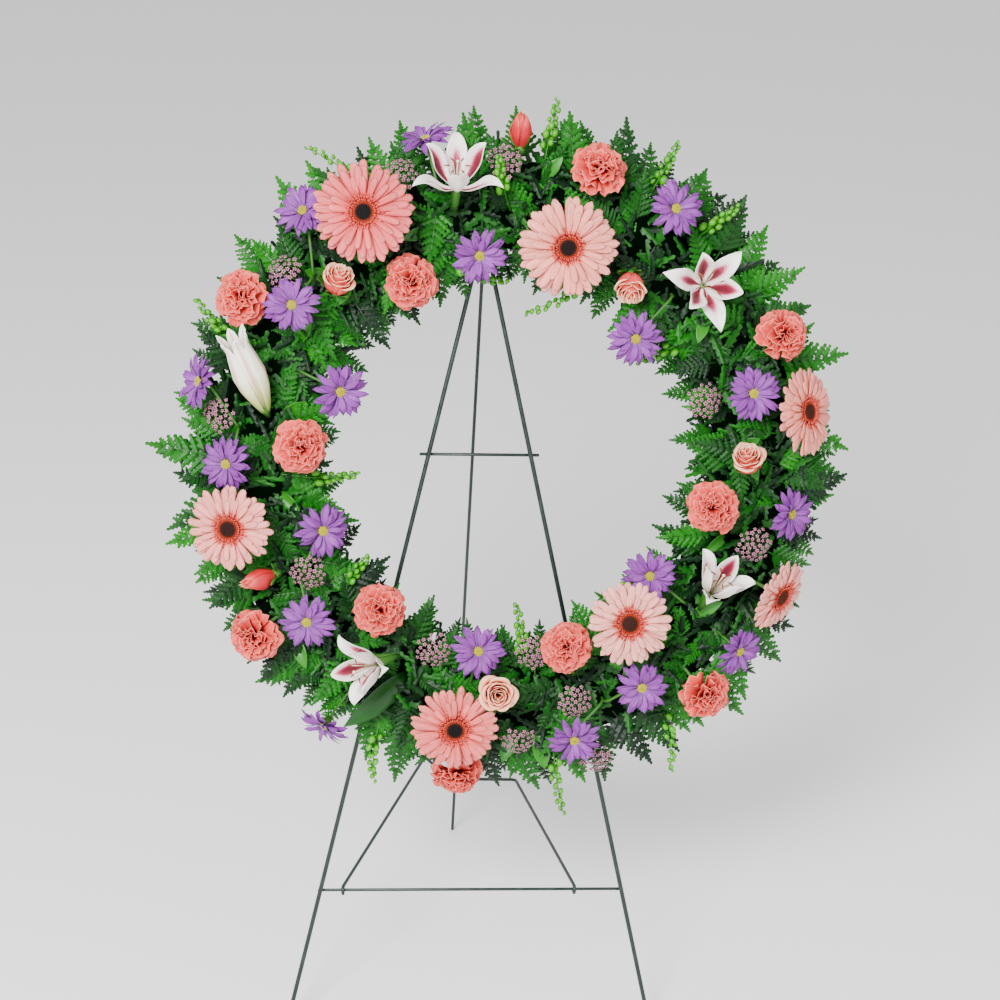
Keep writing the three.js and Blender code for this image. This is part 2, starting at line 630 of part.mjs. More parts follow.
function insideBloom(p, margin) {
  for (const { from, to, radius } of stems) {
    const along = to.clone().sub(from);
    const t = clamp(p.clone().sub(from).dot(along) / along.lengthSq(), 0, 1);
    if (p.distanceTo(from.clone().addScaledVector(along, t)) < radius + margin) return true;
  }
  return heads.some(({ centre, back, zones }) => {
    const local = p.clone().sub(centre).applyQuaternion(back);
    const off = hypot(local.x, local.y) - margin;
    return zones.some(([radius, low, high]) => (
      off < radius && local.z > low - margin && local.z < high + margin));
  });
}

// The bed, and the stretch behind the ring where the easel stands.
function insideRing(p, margin) {
  const radius = hypot(p.x, p.z);
  return -p.y < BED.front + margin && radius > BED.inner - margin && radius < BED.outer + margin;
}

function nearTie(p, margin) {
  const radius = hypot(p.x, p.z);
  return radius > BED.inner - 6 && radius < BED.outer + 6 && TIE_CLOCKS.some((clock) => (
    p.dot(outward(clock)) > 0 && Math.abs(p.dot(outward(clock + 90))) < TIE_RADIUS + margin));
}

// Where foliage has grown, as the cells of a coarse grid.
const CELL = 5;
const taken = new Set();
const cellOf = (p) => [p.x, p.y, p.z].map((v) => Math.round(v / CELL)).join();
function take(samples, root, rootReach) {
  for (const p of samples) if (p.distanceTo(root) > rootReach) taken.add(cellOf(p));
}

function isClear(samples, sector, root, rootReach = 16) {
  const [low, high] = sector;
  const middle = (low + high) / 2;
  return samples.every((p) => {
    const off = ((clockOf(p) - middle + 540) % 360) - 180;
    const edge = (high - low) / 2 - off * Math.sign(off);
    if (hypot(p.x, p.z) * sin(degToRad(edge)) < EDGE_MARGIN || edge < 0) return false;
    if (-p.y < LEG_RADIUS + 6 || insideBloom(p, 1.8) || nearTie(p, 1)) return false;
    return p.distanceTo(root) < rootReach || !(insideRing(p, 0.5) || taken.has(cellOf(p)));
  });
}

// A blade with leaflets along a rib. Points run up the rib in pairs, with leaflet tips between.
function ribbed({ root, heading, up, length, rise, droop, leaflets, leafletAt, stalk, tipWidth = 0 }) {
  const left = up.clone().cross(heading).normalize();
  const at = (t, side, lift = 0) => root.clone().addScaledVector(heading, length * t)
    .addScaledVector(up, length * (rise * t - droop * t * t) + lift).addScaledVector(left, side);
  const points = [at(0, stalk), at(0, -stalk)];
  const faces = [];
  for (let k = 0; k <= leaflets; k++) {
    const t = 0.16 + (0.74 * k) / leaflets;
    const [l, r] = [points.push(at(t, stalk * 0.8)) - 1, points.push(at(t, -stalk * 0.8)) - 1];
    const [l0, r0] = k ? [l - 4, r - 4] : [0, 1];
    faces.push([l0, r0, r], [l0, r, l]);
    if (k) {
      const [tl, tr] = [l - 2, r - 2];
      faces.push([r0, tr, r], [l0, l, tl]);
    }
    if (k < leaflets) {
      const { along, side, lift } = leafletAt(k, t);
      points.push(at(along, side, lift), at(along, -side, lift));
    }
  }
  const count = points.length;
  points.push(at(1, 0));
  faces.push([count - 2, count - 1, count]);
  return { points, faces };
}

function frondBlade({ root, heading, up, length, width, rise, droop }) {
  return ribbed({
    root, heading, up, length, rise, droop, leaflets: FROND.leaflets, stalk: FROND.stalk,
    leafletAt: (k, t) => ({
      along: t + 0.2 - 0.02 * k, side: width * (1.05 - 0.85 * t), lift: -0.1 * width * (1 - t),
    }),
  });
}

function racemeBlade({ root, heading, up, length, rise, droop }) {
  return ribbed({
    root, heading, up, length, rise, droop, leaflets: 3, stalk: 1.3,
    leafletAt: (k, t) => ({ along: t + 0.17, side: 7.5 - k, lift: 0 }),
  });
}

// A broad leaf with a crease along its middle.
function leafBlade({ root, heading, up, length, width, rise, droop }) {
  const left = up.clone().cross(heading).normalize();
  const at = (t, side) => root.clone().addScaledVector(heading, length * t)
    .addScaledVector(left, side * width / 2)
    .addScaledVector(up, length * (rise * t - droop * t * t) + Math.abs(side) * 0.16 * width);
  const rows = [[0, 0.12], [0.3, 0.7], [0.6, 1], [0.84, 0.6]];
  const points = [...rows.flatMap(([t, half]) => [at(t, half), at(t, 0), at(t, -half)]), at(1, 0)];
  const faces = [];
  for (let k = 0; k < 9; k += 3) {
    for (const i of [k, k + 1]) faces.push([i, i + 1, i + 4], [i, i + 4, i + 3]);
  }
  faces.push([9, 10, 12], [10, 11, 12]);
  return { points, faces };
}

// Tries small changes of direction and size until the blade clears everything round it.
const TRIES = 90;
const SHRINK = 145;
function growClear(sector, make, blade, thickness) {
  for (let i = 0; i < TRIES; i++) {
    const spec = make(i);
    const { points, faces } = blade(spec);
    const samples = samplesOf(points, faces);
    if (isClear(samples, sector, spec.root)) {
      take(samples, spec.root, 14);
      return [sheet(points, faces, spec.up, thickness)];
    }
  }
  return [];
}

// The bed of a sector: a channel section over the foam, extruded and bent round the ring.
function bed([low, high]) {
  const { inner, outer, back, front, bevel, step } = BED;
  const margin = THREE.MathUtils.radToDeg(EDGE_MARGIN / BED.outer);
  const sweep = high - low - 2 * margin;
  const near = RING.inner * cos(PI / RING.sides) - GAP;
  const far = (RING.outer + GAP) / cos(degToRad(step / 2));
  const under = RING.front + GAP;
  const section = new THREE.Shape([
    [outer, back], [outer, front - bevel], [outer - bevel, front],
    [inner + bevel, front], [inner, front - bevel], [inner, back],
    [near, back], [near, under], [far, under], [far, back],
  ].map(([radius, out]) => new THREE.Vector2(radius, out)));
  const geometry = new THREE.ExtrudeGeometry(section, {
    depth: sweep, steps: Math.ceil(sweep / step), bevelEnabled: false,
  });
  const position = geometry.getAttribute('position');
  for (let i = 0; i < position.count; i++) {
    const p = spot(low + margin + position.getZ(i), position.getX(i), position.getY(i));
    position.setXYZ(i, p.x, p.y, p.z);
  }
  return geometry;
}

function directed(clock, towards, rise) {
  const heading = outward(towards);
  return { heading, up: FORWARD.clone(), rise, clock };
}

// A frond of one of the kinds above. Each failed try turns it further and makes it smaller.
function frond(sector, clock, kind) {
  return growClear(sector, (i) => {
    const size = random(...kind.size) * (1 - i / SHRINK);
    const turn = random(-kind.turn, kind.turn) * Math.min(1 + i / 30, 180 / kind.turn);
    return {
      ...directed(clock, clock + (kind.inwards ? 180 : 0) + turn, random(...kind.rise)),
      root: spot(clock + random(-kind.wander, kind.wander), random(...kind.radius), random(...kind.height)),
      length: kind.length * size, width: kind.width * size, droop: kind.droop,
    };
  }, frondBlade, FROND.thickness);
}

function broadLeaf(sector, { clock, radius, heading, length, width }) {
  return growClear(sector, (i) => ({
    ...directed(clock, heading + random(-0.5, 0.5) * i, 0.55 + 0.02 * (i % 10)),
    root: spot(clock + random(-0.1, 0.1) * i, radius, BED_MIDDLE),
    length: length * (1 - i / SHRINK), width: width * (1 - i / SHRINK), droop: 0.35,
  }), leafBlade, FROND.thickness);
}

function raceme(sector, { clock, heading, rise, length, root = 300 }) {
  return growClear(sector, (i) => ({
    ...directed(clock, heading + random(-0.6, 0.6) * i, rise + 0.02 * (i % 12)),
    root: spot(clock + random(-0.1, 0.1) * i, root, BED_MIDDLE),
    length: length * (1 - i / SHRINK), droop: 0.12,
  }), racemeBlade, 3);
}

// A filler's flat head: florets as the points of a star, on a stalk out of the bed.
const FILLER_REACH = 13;
function filler(sector, { clock, radius, height }) {
  for (let i = 0; i < TRIES; i++) {
    const size = FILLER_REACH * (1 - i / SHRINK);
    const frame = headFrame({
      clock: clock + random(-0.12, 0.12) * i,
      radius: radius + random(-0.5, 0.5) * i,
      height: height - random(0, 0.4) * i,
      tilt: radius > FAR ? 30 : 8,
    });
    const { centre, turn } = frame;
    const rootSpot = spot(clockOf(centre), clamp(hypot(centre.x, centre.z), NEAR, FAR), BED.front - 3);
    const samples = [];
    for (let t = 0; t <= 1; t += 0.1) samples.push(blend(rootSpot, centre, t));
    for (const part of [0.35, 0.7, 1]) {
      for (const lift of [0, 3]) samples.push(...ringAt(centre, turn, 12, size * part, lift));
    }
    if (!isClear(samples, sector, rootSpot, 8)) continue;
    take(samples, rootSpot, 8);
    const axis = centre.clone().sub(rootSpot).normalize();
    return [loft([
      ringAt(rootSpot, facing(axis), 3, 1.1), ringAt(centre, facing(axis), 3, 1.1, -3),
      ...profile(frame, 6, [[size * 0.5, -1], [size * 0.5, 2], [size * 0.2, 4]]),
    ], { 2: straightPetals(frame, { petals: 6, reach: size, fill: 0.5, tip: -2, thickness: 2.4 }) })];
  }
  return [];
}

const within = ([low, high], clock) => (clock - low + 360) % 360 < (high - low);
const evenly = (low, high, step) => {
  const count = Math.max(1, Math.round((high - low) / step));
  return Array.from({ length: count }, (_, i) => low + ((high - low) * (i + 0.5)) / count);
};

SECTOR_EDGES.forEach((low, s) => {
  const high = SECTOR_EDGES[(s + 1) % SECTOR_EDGES.length] + (s === SECTOR_EDGES.length - 1 ? 360 : 0);
  const sector = [low, high];
  const pieces = [
    bed(sector),
    ...(within(sector, BROAD_LEAF.clock) ? broadLeaf(sector, BROAD_LEAF) : []),
    ...FILLERS.filter(({ clock }) => within(sector, clock)).flatMap((spec) => filler(sector, spec)),
    ...RACEMES.filter(({ clock }) => within(sector, clock)).flatMap((spec) => raceme(sector, spec)),
    ...evenly(low, high, FROND_STEP.outer)
      .flatMap((clock, i) => frond(sector, clock, i % 2 ? OUTER_FLANK_FRONDS : OUTER_FRONDS)),
    ...evenly(low, high, FROND_STEP.inner)
      .flatMap((clock, i) => frond(sector, clock, i % 3 === 1 ? INNER_FLANK_FRONDS : INNER_FRONDS)),
    ...evenly(low, high, FROND_STEP.face).flatMap((clock) => frond(sector, clock, FACE_FRONDS)),
  ];
  addMesh(wreath, `foliage_${s + 1}`, fuse(pieces), LEAF);
});

TIE_CLOCKS.forEach((clock, i) => addMesh(wreath, `tie_wire_${i + 1}`, tieWire(clock), TIE));

// Stand the whole on its feet, with the origin under the middle of its box.
easelAndWreath.updateMatrixWorld(true);
const box = new THREE.Box3().setFromObject(easelAndWreath, true);
const assembly = new THREE.Group();
assembly.add(easelAndWreath);
easelAndWreath.position.set(-(box.min.x + box.max.x) / 2, -(box.min.y + box.max.y) / 2, -box.min.z);

export default assembly;
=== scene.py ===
import math
import random

import bpy
import numpy as np
from mathutils import Matrix, Vector


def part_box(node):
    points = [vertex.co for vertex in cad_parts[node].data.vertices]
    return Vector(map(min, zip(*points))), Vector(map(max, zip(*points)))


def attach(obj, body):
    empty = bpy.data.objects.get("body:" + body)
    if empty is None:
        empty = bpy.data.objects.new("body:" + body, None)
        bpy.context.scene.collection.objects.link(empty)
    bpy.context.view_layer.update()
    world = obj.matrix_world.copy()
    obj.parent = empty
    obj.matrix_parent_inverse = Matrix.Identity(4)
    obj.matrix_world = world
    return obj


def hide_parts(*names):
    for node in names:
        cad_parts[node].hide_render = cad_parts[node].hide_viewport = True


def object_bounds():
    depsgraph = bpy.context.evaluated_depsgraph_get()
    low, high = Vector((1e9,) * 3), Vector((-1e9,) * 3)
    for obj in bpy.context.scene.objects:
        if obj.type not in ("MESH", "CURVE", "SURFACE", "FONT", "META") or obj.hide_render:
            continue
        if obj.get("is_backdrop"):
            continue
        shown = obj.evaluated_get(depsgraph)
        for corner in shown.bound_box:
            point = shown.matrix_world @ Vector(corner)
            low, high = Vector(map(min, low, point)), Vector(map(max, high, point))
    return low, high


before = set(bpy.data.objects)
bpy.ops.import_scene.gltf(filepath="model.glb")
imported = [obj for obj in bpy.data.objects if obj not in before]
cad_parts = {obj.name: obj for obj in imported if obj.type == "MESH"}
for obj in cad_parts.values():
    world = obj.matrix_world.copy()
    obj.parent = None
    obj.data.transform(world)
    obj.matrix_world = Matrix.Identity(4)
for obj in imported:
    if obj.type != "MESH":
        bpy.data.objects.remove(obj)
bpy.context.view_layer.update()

# Camera: it looks slightly down on the wreath from in front, a little to the left of the middle,
# and is tipped a little to one side. The lens is a short telephoto. Its place is given from the
# middle of the bar that the back leg hangs on.
hinge_low, hinge_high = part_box("hinge_bar")
hinge = (hinge_low + hinge_high) / 2
CAMERA_FROM_HINGE = Vector((-0.13976, -2.20517, 0.63354))
CAMERA_AZIMUTH = -0.07597
CAMERA_ELEVATION = 0.39133
CAMERA_ROLL = 0.03770
CAMERA_LENS = 75.805


def camera_turn(azimuth, elevation, roll):
    right = Vector((math.cos(azimuth), math.sin(azimuth), 0))
    back = Vector((
        math.sin(azimuth) * math.cos(elevation), -math.cos(azimuth) * math.cos(elevation), math.sin(elevation)))
    up = back.cross(right)
    tipped_right = right * math.cos(roll) + up * math.sin(roll)
    tipped_up = up * math.cos(roll) - right * math.sin(roll)
    turn = np.array([tipped_right, tipped_up, back]).T
    return turn


camera = bpy.data.objects.new("camera", bpy.data.cameras.new("camera"))
bpy.context.scene.collection.objects.link(camera)
turn = np.eye(4)
turn[:3, :3] = camera_turn(CAMERA_AZIMUTH, CAMERA_ELEVATION, CAMERA_ROLL)
turn[:3, 3] = hinge + CAMERA_FROM_HINGE
camera.matrix_world = Matrix(turn.tolist())
camera.data.lens = CAMERA_LENS
camera.data.sensor_width = 36
camera.data.clip_start, camera.data.clip_end = 0.05, 60
bpy.context.scene.camera = camera

# Studio: a plain pale floor that runs far enough back to fill the view, a pale sky, one large soft
# key light from the upper left in front, and a weaker fill from the right.
FLOOR_HALF = 15


def srgb(red, green, blue):
    """A colour given as 0 to 255 in sRGB, as linear light."""
    return tuple((v / 255 / 12.92 if v < 10.3 else ((v / 255 + 0.055) / 1.055) ** 2.4) for v in (red, green, blue))


def new_finish(name, roughness=0.5):
    """A material with its shader: the material, its nodes, a linking function and the shader."""
    material = bpy.data.materials.new(name)
    material.use_nodes = True
    tree = material.node_tree
    shader = tree.nodes["Principled BSDF"]
    shader.inputs["Roughness"].default_value = roughness
    return material, tree.nodes, tree.links.new, shader


floor_mesh = bpy.data.meshes.new("floor")
floor_mesh.from_pydata(
    [(-FLOOR_HALF, -FLOOR_HALF, 0), (FLOOR_HALF, -FLOOR_HALF, 0), (FLOOR_HALF, FLOOR_HALF, 0),
     (-FLOOR_HALF, FLOOR_HALF, 0)], [], [(0, 1, 2, 3)])
floor = bpy.data.objects.new("floor", floor_mesh)
bpy.context.scene.collection.objects.link(floor)
floor_paint, _, _, floor_shader = new_finish("floor_paint", 0.9)
floor_shader.inputs["Base Color"].default_value = (0.92, 0.92, 0.92, 1)
floor_mesh.materials.append(floor_paint)
floor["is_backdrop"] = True

sky = bpy.data.worlds.new("sky")
sky.use_nodes = True
sky.node_tree.nodes["Background"].inputs["Color"].default_value = (1, 1, 1, 1)
sky.node_tree.nodes["Background"].inputs["Strength"].default_value = 1.0
bpy.context.scene.world = sky
for light_name, place, power, size in (
        ("key_light", (-1.3, -2.8, 2.6), 300, 1.2), ("fill_light", (2.2, -2.2, 1.5), 34, 2.0)):
    light = bpy.data.lights.new(light_name, "AREA")
    light.energy = power
    light.size = size
    lamp = bpy.data.objects.new(light_name, light)
    bpy.context.scene.collection.objects.link(lamp)
    lamp.location = place
    lamp.rotation_euler = (Vector((0, 0, 0.55)) - lamp.location).to_track_quat("-Z", "Y").to_euler()

# Front frame of the easel: one steel wire of 5 mm, bent double over a small arch at the top into
# two splayed legs that lean back, then dipped in dark green enamel. Its ends are cut square.
LEAN = math.radians(12.7)
LEG_RADIUS = 0.0025
BAR_RADIUS = 0.00175
REAR_RADIUS = 0.002
BAR_BEHIND = LEG_RADIUS + BAR_RADIUS + 0.0003
HINGE_HEIGHT = 0.872
FOOT_HALF = 0.2085
LEG_TAPER = 0.2303
LEG_SLANT = math.atan(LEG_TAPER)
ARCH_RADIUS = 0.004
LOWER_BAR_HEIGHT = 0.159
easel_body = "easel_and_wreath"
plane_foot = Vector((
    hinge.x, hinge.y - HINGE_HEIGHT * math.sin(LEAN) - BAR_BEHIND * math.cos(LEAN), 0))


def plane_point(across, up_plane, behind=0.0):
    """A point given by its place on the leaning plane of the legs, and how far behind it lies."""
    return plane_foot + Vector((
        across, up_plane * math.sin(LEAN) + behind * math.cos(LEAN),
        up_plane * math.cos(LEAN) - behind * math.sin(LEAN)))


def rounded_path(corners, bend, steps=7):
    """The corners joined by straight runs, with each corner eased over the length bend."""
    points = [corners[0]]
    for before, here, after in zip(corners, corners[1:], corners[2:]):
        start = here + (before - here).normalized() * min(bend, (before - here).length * 0.45)
        end = here + (after - here).normalized() * min(bend, (after - here).length * 0.45)
        for i in range(steps + 1):
            t = i / steps
            points.append(start.lerp(here, t).lerp(here.lerp(end, t), t))
    points.append(corners[-1])
    return points


def tube(path, radius, sides=14, ends=0.86, closed=False):
    """A round tube along a path: its points and faces. radius may be a list, one for each point."""
    path = [Vector(p) for p in path]
    count = len(path)
    radii = np.full(count, radius) if np.isscalar(radius) else np.array(radius)
    if not closed:
        radii[0] *= ends
        radii[-1] *= ends
    ahead = [(path[(i + 1) % count] if closed or i + 1 < count else path[i])
             - (path[i - 1] if closed or i else path[0]) for i in range(count)]
    side = ahead[0].orthogonal().normalized()
    points = []
    for place, direction, r in zip(path, ahead, radii):
        direction = direction.normalized()
        side = (side - direction * side.dot(direction)).normalized()
        over = direction.cross(side)
        for k in range(sides):
            angle = 2 * math.pi * k / sides
            points.append(place + (side * math.cos(angle) + over * math.sin(angle)) * r)
    faces = []
    for i in range(count if closed else count - 1):
        low, high = i * sides, ((i + 1) % count) * sides
        for k in range(sides):
            faces.append((low + k, low + (k + 1) % sides, high + (k + 1) % sides, high + k))
    if not closed:
        faces.append(tuple(reversed(range(sides))))
        faces.append(tuple(range((count - 1) * sides, count * sides)))
    points = np.array(points)
    return points, faces, np.tile((0.5, 0.5, 0.5), (len(points), 1))


def bead(place, radii, rings=6, sides=10):
    """A small closed ball: a weld bead, a bud or a floret. radii are its three half sizes."""
    points = [(0, 0, -1)]
    for i in range(1, rings):
        angle = math.pi * i / rings
        points += [(math.sin(angle) * math.cos(2 * math.pi * k / sides),
                    math.sin(angle) * math.sin(2 * math.pi * k / sides), -math.cos(angle)) for k in range(sides)]
    points.append((0, 0, 1))
    faces = [(0, 1 + (k + 1) % sides, 1 + k) for k in range(sides)]
    for i in range(rings - 2):
        low, high = 1 + i * sides, 1 + (i + 1) * sides
        faces += [(low + k, low + (k + 1) % sides, high + (k + 1) % sides, high + k) for k in range(sides)]
    last, top = 1 + (rings - 2) * sides, len(points) - 1
    faces += [(last + k, last + (k + 1) % sides, top) for k in range(sides)]
    points = np.array(points)
    along = (points[:, 2:3] + 1) / 2
    maps = np.hstack([along, np.full((len(points), 2), 0.5)])
    return points * np.array(radii) + np.array(place), faces, maps


def make_piece(name, parts, finishes, body, nodes=(), smooth=True):
    """One piece from its parts. A part is points, faces, a map value for each point (how far along,
    how far across and its own tint, each 0 to 1) and, where it isn't 0, the number of its finish, or
    a list of them for its faces."""
    points, faces, maps, finish_of_face = [], [], [], []
    start = 0
    for part in parts:
        points.append(part[0])
        maps.append(part[2])
        faces += [tuple(start + i for i in face) for face in part[1]]
        finish = part[3] if len(part) > 3 else 0
        finish_of_face += finish if isinstance(finish, list) else [finish] * len(part[1])
        start += len(part[0])
    mesh = bpy.data.meshes.new(name)
    mesh.from_pydata(np.concatenate(points).tolist(), [], faces)
    for finish in finishes:
        mesh.materials.append(finish)
    mesh.polygons.foreach_set("material_index", finish_of_face)
    mesh.polygons.foreach_set("use_smooth", [smooth] * len(faces))
    maps = np.concatenate(maps)
    layer = mesh.attributes.new("petal_map", "FLOAT_COLOR", "POINT")
    layer.data.foreach_set("color", np.hstack([maps, np.ones((len(maps), 1))]).astype(np.float32).ravel())
    mesh.update()
    piece = bpy.data.objects.new(name, mesh)
    bpy.context.scene.collection.objects.link(piece)
    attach(piece, body)
    if nodes:
        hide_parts(*nodes)
    return piece


def new_mottle():
    """Soft blotches in the object's own space, for uneven colour, gloss and surface."""
    group = bpy.data.node_groups.new("mottle", "ShaderNodeTree")
    for socket, low in (("Size", 120.0), ("Contrast", 1.0)):
        made = group.interface.new_socket(socket, in_out="INPUT", socket_type="NodeSocketFloat")
        made.default_value = low
    group.interface.new_socket("Mask", in_out="OUTPUT", socket_type="NodeSocketFloat")
    nodes, link = group.nodes, group.links.new
    given, result = nodes.new("NodeGroupInput"), nodes.new("NodeGroupOutput")
    place, noise = nodes.new("ShaderNodeTexCoord"), nodes.new("ShaderNodeTexNoise")
    noise.inputs["Detail"].default_value = 4
    centred, scaled, back = (nodes.new("ShaderNodeMath") for _ in range(3))
    centred.operation, scaled.operation, back.operation = "SUBTRACT", "MULTIPLY", "ADD"
    centred.inputs[1].default_value = 0.5
    back.inputs[1].default_value = 0.5
    back.use_clamp = True
    link(place.outputs["Object"], noise.inputs["Vector"])
    link(given.outputs["Size"], noise.inputs["Scale"])
    link(noise.outputs["Fac"], centred.inputs[0])
    link(centred.outputs[0], scaled.inputs[0])
    link(given.outputs["Contrast"], scaled.inputs[1])
    link(scaled.outputs[0], back.inputs[0])
    link(back.outputs[0], result.inputs["Mask"])
    return group


mottle = new_mottle()


def add_group(nodes, group, **values):
    node = nodes.new("ShaderNodeGroup")
    node.node_tree = group
    for name, value in values.items():
        node.inputs[name].default_value = value
    return node


def add_ramp(nodes, stops, interpolation="LINEAR"):
    """A colour ramp with stops of (position, colour)."""
    node = nodes.new("ShaderNodeValToRGB")
    node.color_ramp.interpolation = interpolation
    elements = node.color_ramp.elements
    while len(elements) < len(stops):
        elements.new(0.5)
    for element, (position, colour) in zip(elements, stops):
        element.position = position
        element.color = (*colour, 1)
    return node


def add_bump(nodes, link, height, shader, distance, strength=1.0):
    node = nodes.new("ShaderNodeBump")
    node.inputs["Distance"].default_value = distance
    node.inputs["Strength"].default_value = strength
    link(height, node.inputs["Height"])
    link(node.outputs["Normal"], shader.inputs["Normal"])


def grey(value):
    return (value, value, value)


def green_enamel():
    """Dark green enamel with thin dull patches, and a skin that isn't quite even."""
    material, nodes, link, shader = new_finish("green_enamel")
    patches = add_group(nodes, mottle, Size=90.0, Contrast=1.8)
    tint = add_ramp(nodes, [(0.25, srgb(3, 18, 12)), (0.6, srgb(6, 30, 20)), (0.9, srgb(14, 46, 32))])
    gloss = add_ramp(nodes, [(0.3, grey(0.36)), (0.85, grey(0.5))])
    skin = add_group(nodes, mottle, Size=700.0, Contrast=1.0)
    link(patches.outputs["Mask"], tint.inputs["Fac"])
    link(patches.outputs["Mask"], gloss.inputs["Fac"])
    link(tint.outputs["Color"], shader.inputs["Base Color"])
    link(gloss.outputs["Color"], shader.inputs["Roughness"])
    add_bump(nodes, link, skin.outputs["Mask"], shader, 0.00015)
    return material


enamel = green_enamel()
foot_height = 0.0006
foot_across = FOOT_HALF - LEG_TAPER * foot_height
arch_centre = (FOOT_HALF - ARCH_RADIUS / math.cos(LEG_SLANT)) / LEG_TAPER
arch = []
for i in range(19):
    angle = math.pi - LEG_SLANT - (math.pi - 2 * LEG_SLANT) * i / 18
    arch.append(plane_point(ARCH_RADIUS * math.cos(angle), arch_centre + ARCH_RADIUS * math.sin(angle)))
feet = [plane_point(-foot_across, foot_height), plane_point(foot_across, foot_height)]
frame_path = [feet[0], feet[0].lerp(arch[0], 0.002), *arch, feet[1].lerp(arch[-1], 0.002), feet[1]]
make_piece("front_frame_wire", [tube(frame_path, LEG_RADIUS)], [enamel], easel_body, ["front_frame"])

# Crossbars: straight wires of 3.5 mm, spot-welded across the back of both legs before dipping, so
# a small bead of weld shows at each crossing. The short one under the arch is the hinge bar.
WELD = (0.0030, 0.0016, 0.0026)
for node, height in (("upper_crossbar", 0.661), ("lower_crossbar", LOWER_BAR_HEIGHT), ("hinge_bar", HINGE_HEIGHT)):
    low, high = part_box(node)
    half = (high.x - low.x) / 2
    bar = [plane_point(-half + along * 2 * half, height, BAR_BEHIND) for along in (0, 0.003, 0.5, 0.997, 1)]
    parts = [tube(bar, BAR_RADIUS, ends=0.7)]
    leg_across = FOOT_HALF - LEG_TAPER * height
    for side in (-1, 1):
        parts.append(bead(plane_point(side * leg_across, height, LEG_RADIUS + 0.0007), WELD))
    make_piece(f"{node}_wire", parts, [enamel], easel_body, [node])

# Back leg: one wire of 4 mm whose top is curled into an open eye round the hinge bar, so that the
# leg swings. It is dipped like the rest.
HOOK_PLAY = 0.00045
EYE_RADIUS = BAR_RADIUS + HOOK_PLAY + REAR_RADIUS
EYE_SWEEP = math.radians(262)
BACK_FOOT = (-0.002, 0.417)
splay = math.atan2(plane_foot.y + BACK_FOOT[1] - hinge.y, hinge.z)


def eye_path(centre, start, steps=22):
    """The curl of an eye or hook round a bar that runs along X."""
    return [Vector((centre.x, centre.y + EYE_RADIUS * math.cos(start + EYE_SWEEP * i / steps),
                    centre.z + EYE_RADIUS * math.sin(start + EYE_SWEEP * i / steps))) for i in range(steps + 1)]


back_foot = Vector((plane_foot.x + BACK_FOOT[0], plane_foot.y + BACK_FOOT[1] + EYE_RADIUS, REAR_RADIUS * math.sin(splay)))
back_eye = eye_path(hinge, splay)
leg_run = [back_foot.lerp(back_eye[0], along) for along in (0, 0.003, 0.5, 0.99)]
make_piece("back_leg_wire", [tube(leg_run + back_eye, REAR_RADIUS)], [enamel], "back_leg", ["back_leg"])

# Brace: one wire of 4 mm, hooked over the lower crossbar at both ends. It runs back on either
# side, and its rear run passes behind the back leg and stops it from spreading.
BRACE_LEFT_HOOK, BRACE_RIGHT_HOOK = -0.146, 0.118
BRACE_LEFT_CORNER, BRACE_RIGHT_CORNER = -0.042, 0.078
BRACE_HEIGHT = 0.087
BRACE_LEFT_RISE = 0.034
bar_centre = plane_point(0, LOWER_BAR_HEIGHT, BAR_BEHIND)
rear_y = (back_foot.y - (BRACE_HEIGHT - back_foot.z) * math.tan(splay)
          + (2 * REAR_RADIUS + 0.0003) / math.cos(splay))


def brace_arm(across, corner):
    hook_centre = Vector((plane_foot.x + across, bar_centre.y, bar_centre.z))
    slope = math.atan2(corner.z - bar_centre.z, corner.y - bar_centre.y)
    return list(reversed(eye_path(hook_centre, math.pi / 2 + slope)))


left_corner = Vector((plane_foot.x + BRACE_LEFT_CORNER, rear_y, BRACE_HEIGHT + BRACE_LEFT_RISE))
right_corner = Vector((plane_foot.x + BRACE_RIGHT_CORNER, rear_y, BRACE_HEIGHT))
notch = Vector((back_foot.x - 0.006, rear_y, BRACE_HEIGHT + 0.001))
left_arm, right_arm = brace_arm(BRACE_LEFT_HOOK, left_corner), brace_arm(BRACE_RIGHT_HOOK, right_corner)
rear_run = rounded_path([left_arm[-1], left_corner, notch, right_corner, right_arm[-1]], 0.006)[1:-1]
brace_path = left_arm + rear_run + list(reversed(right_arm))
make_piece("brace_wire", [tube(brace_path, REAR_RADIUS)], [enamel], "brace", ["brace"])

# Foam ring: a square-shouldered ring of green floral foam on a moulded plastic tray, soaked in
# water. The stems are pushed into it, and it hides under the leaves.
RING_ACROSS, RING_HEIGHT = 0.030, 0.664
RING_INNER, RING_OUTER, RING_BACK, RING_FRONT = 0.232, 0.308, 0.0028, 0.055
RING_STEPS = 144
ring_centre = np.array(plane_point(RING_ACROSS, RING_HEIGHT))
# The wreath's own axes as columns: across, up the plane, and out towards the viewer.
wreath_axes = np.array([(1, 0, 0), (0, math.sin(LEAN), math.cos(LEAN)), (0, -math.cos(LEAN), math.sin(LEAN))]).T


def outward(clock):
    """The direction out from the ring's centre at a clock angle, 0 at the top and 90 at the right."""
    return np.array((math.sin(math.radians(clock)), math.cos(math.radians(clock)), 0.0))


def spot(clock, radius, height):
    return outward(clock) * radius + np.array((0, 0, height))


def on_wreath(parts):
    """Parts in the wreath's own axes, moved to where the wreath stands."""
    return [(part[0] @ wreath_axes.T + ring_centre, *part[1:]) for part in parts]


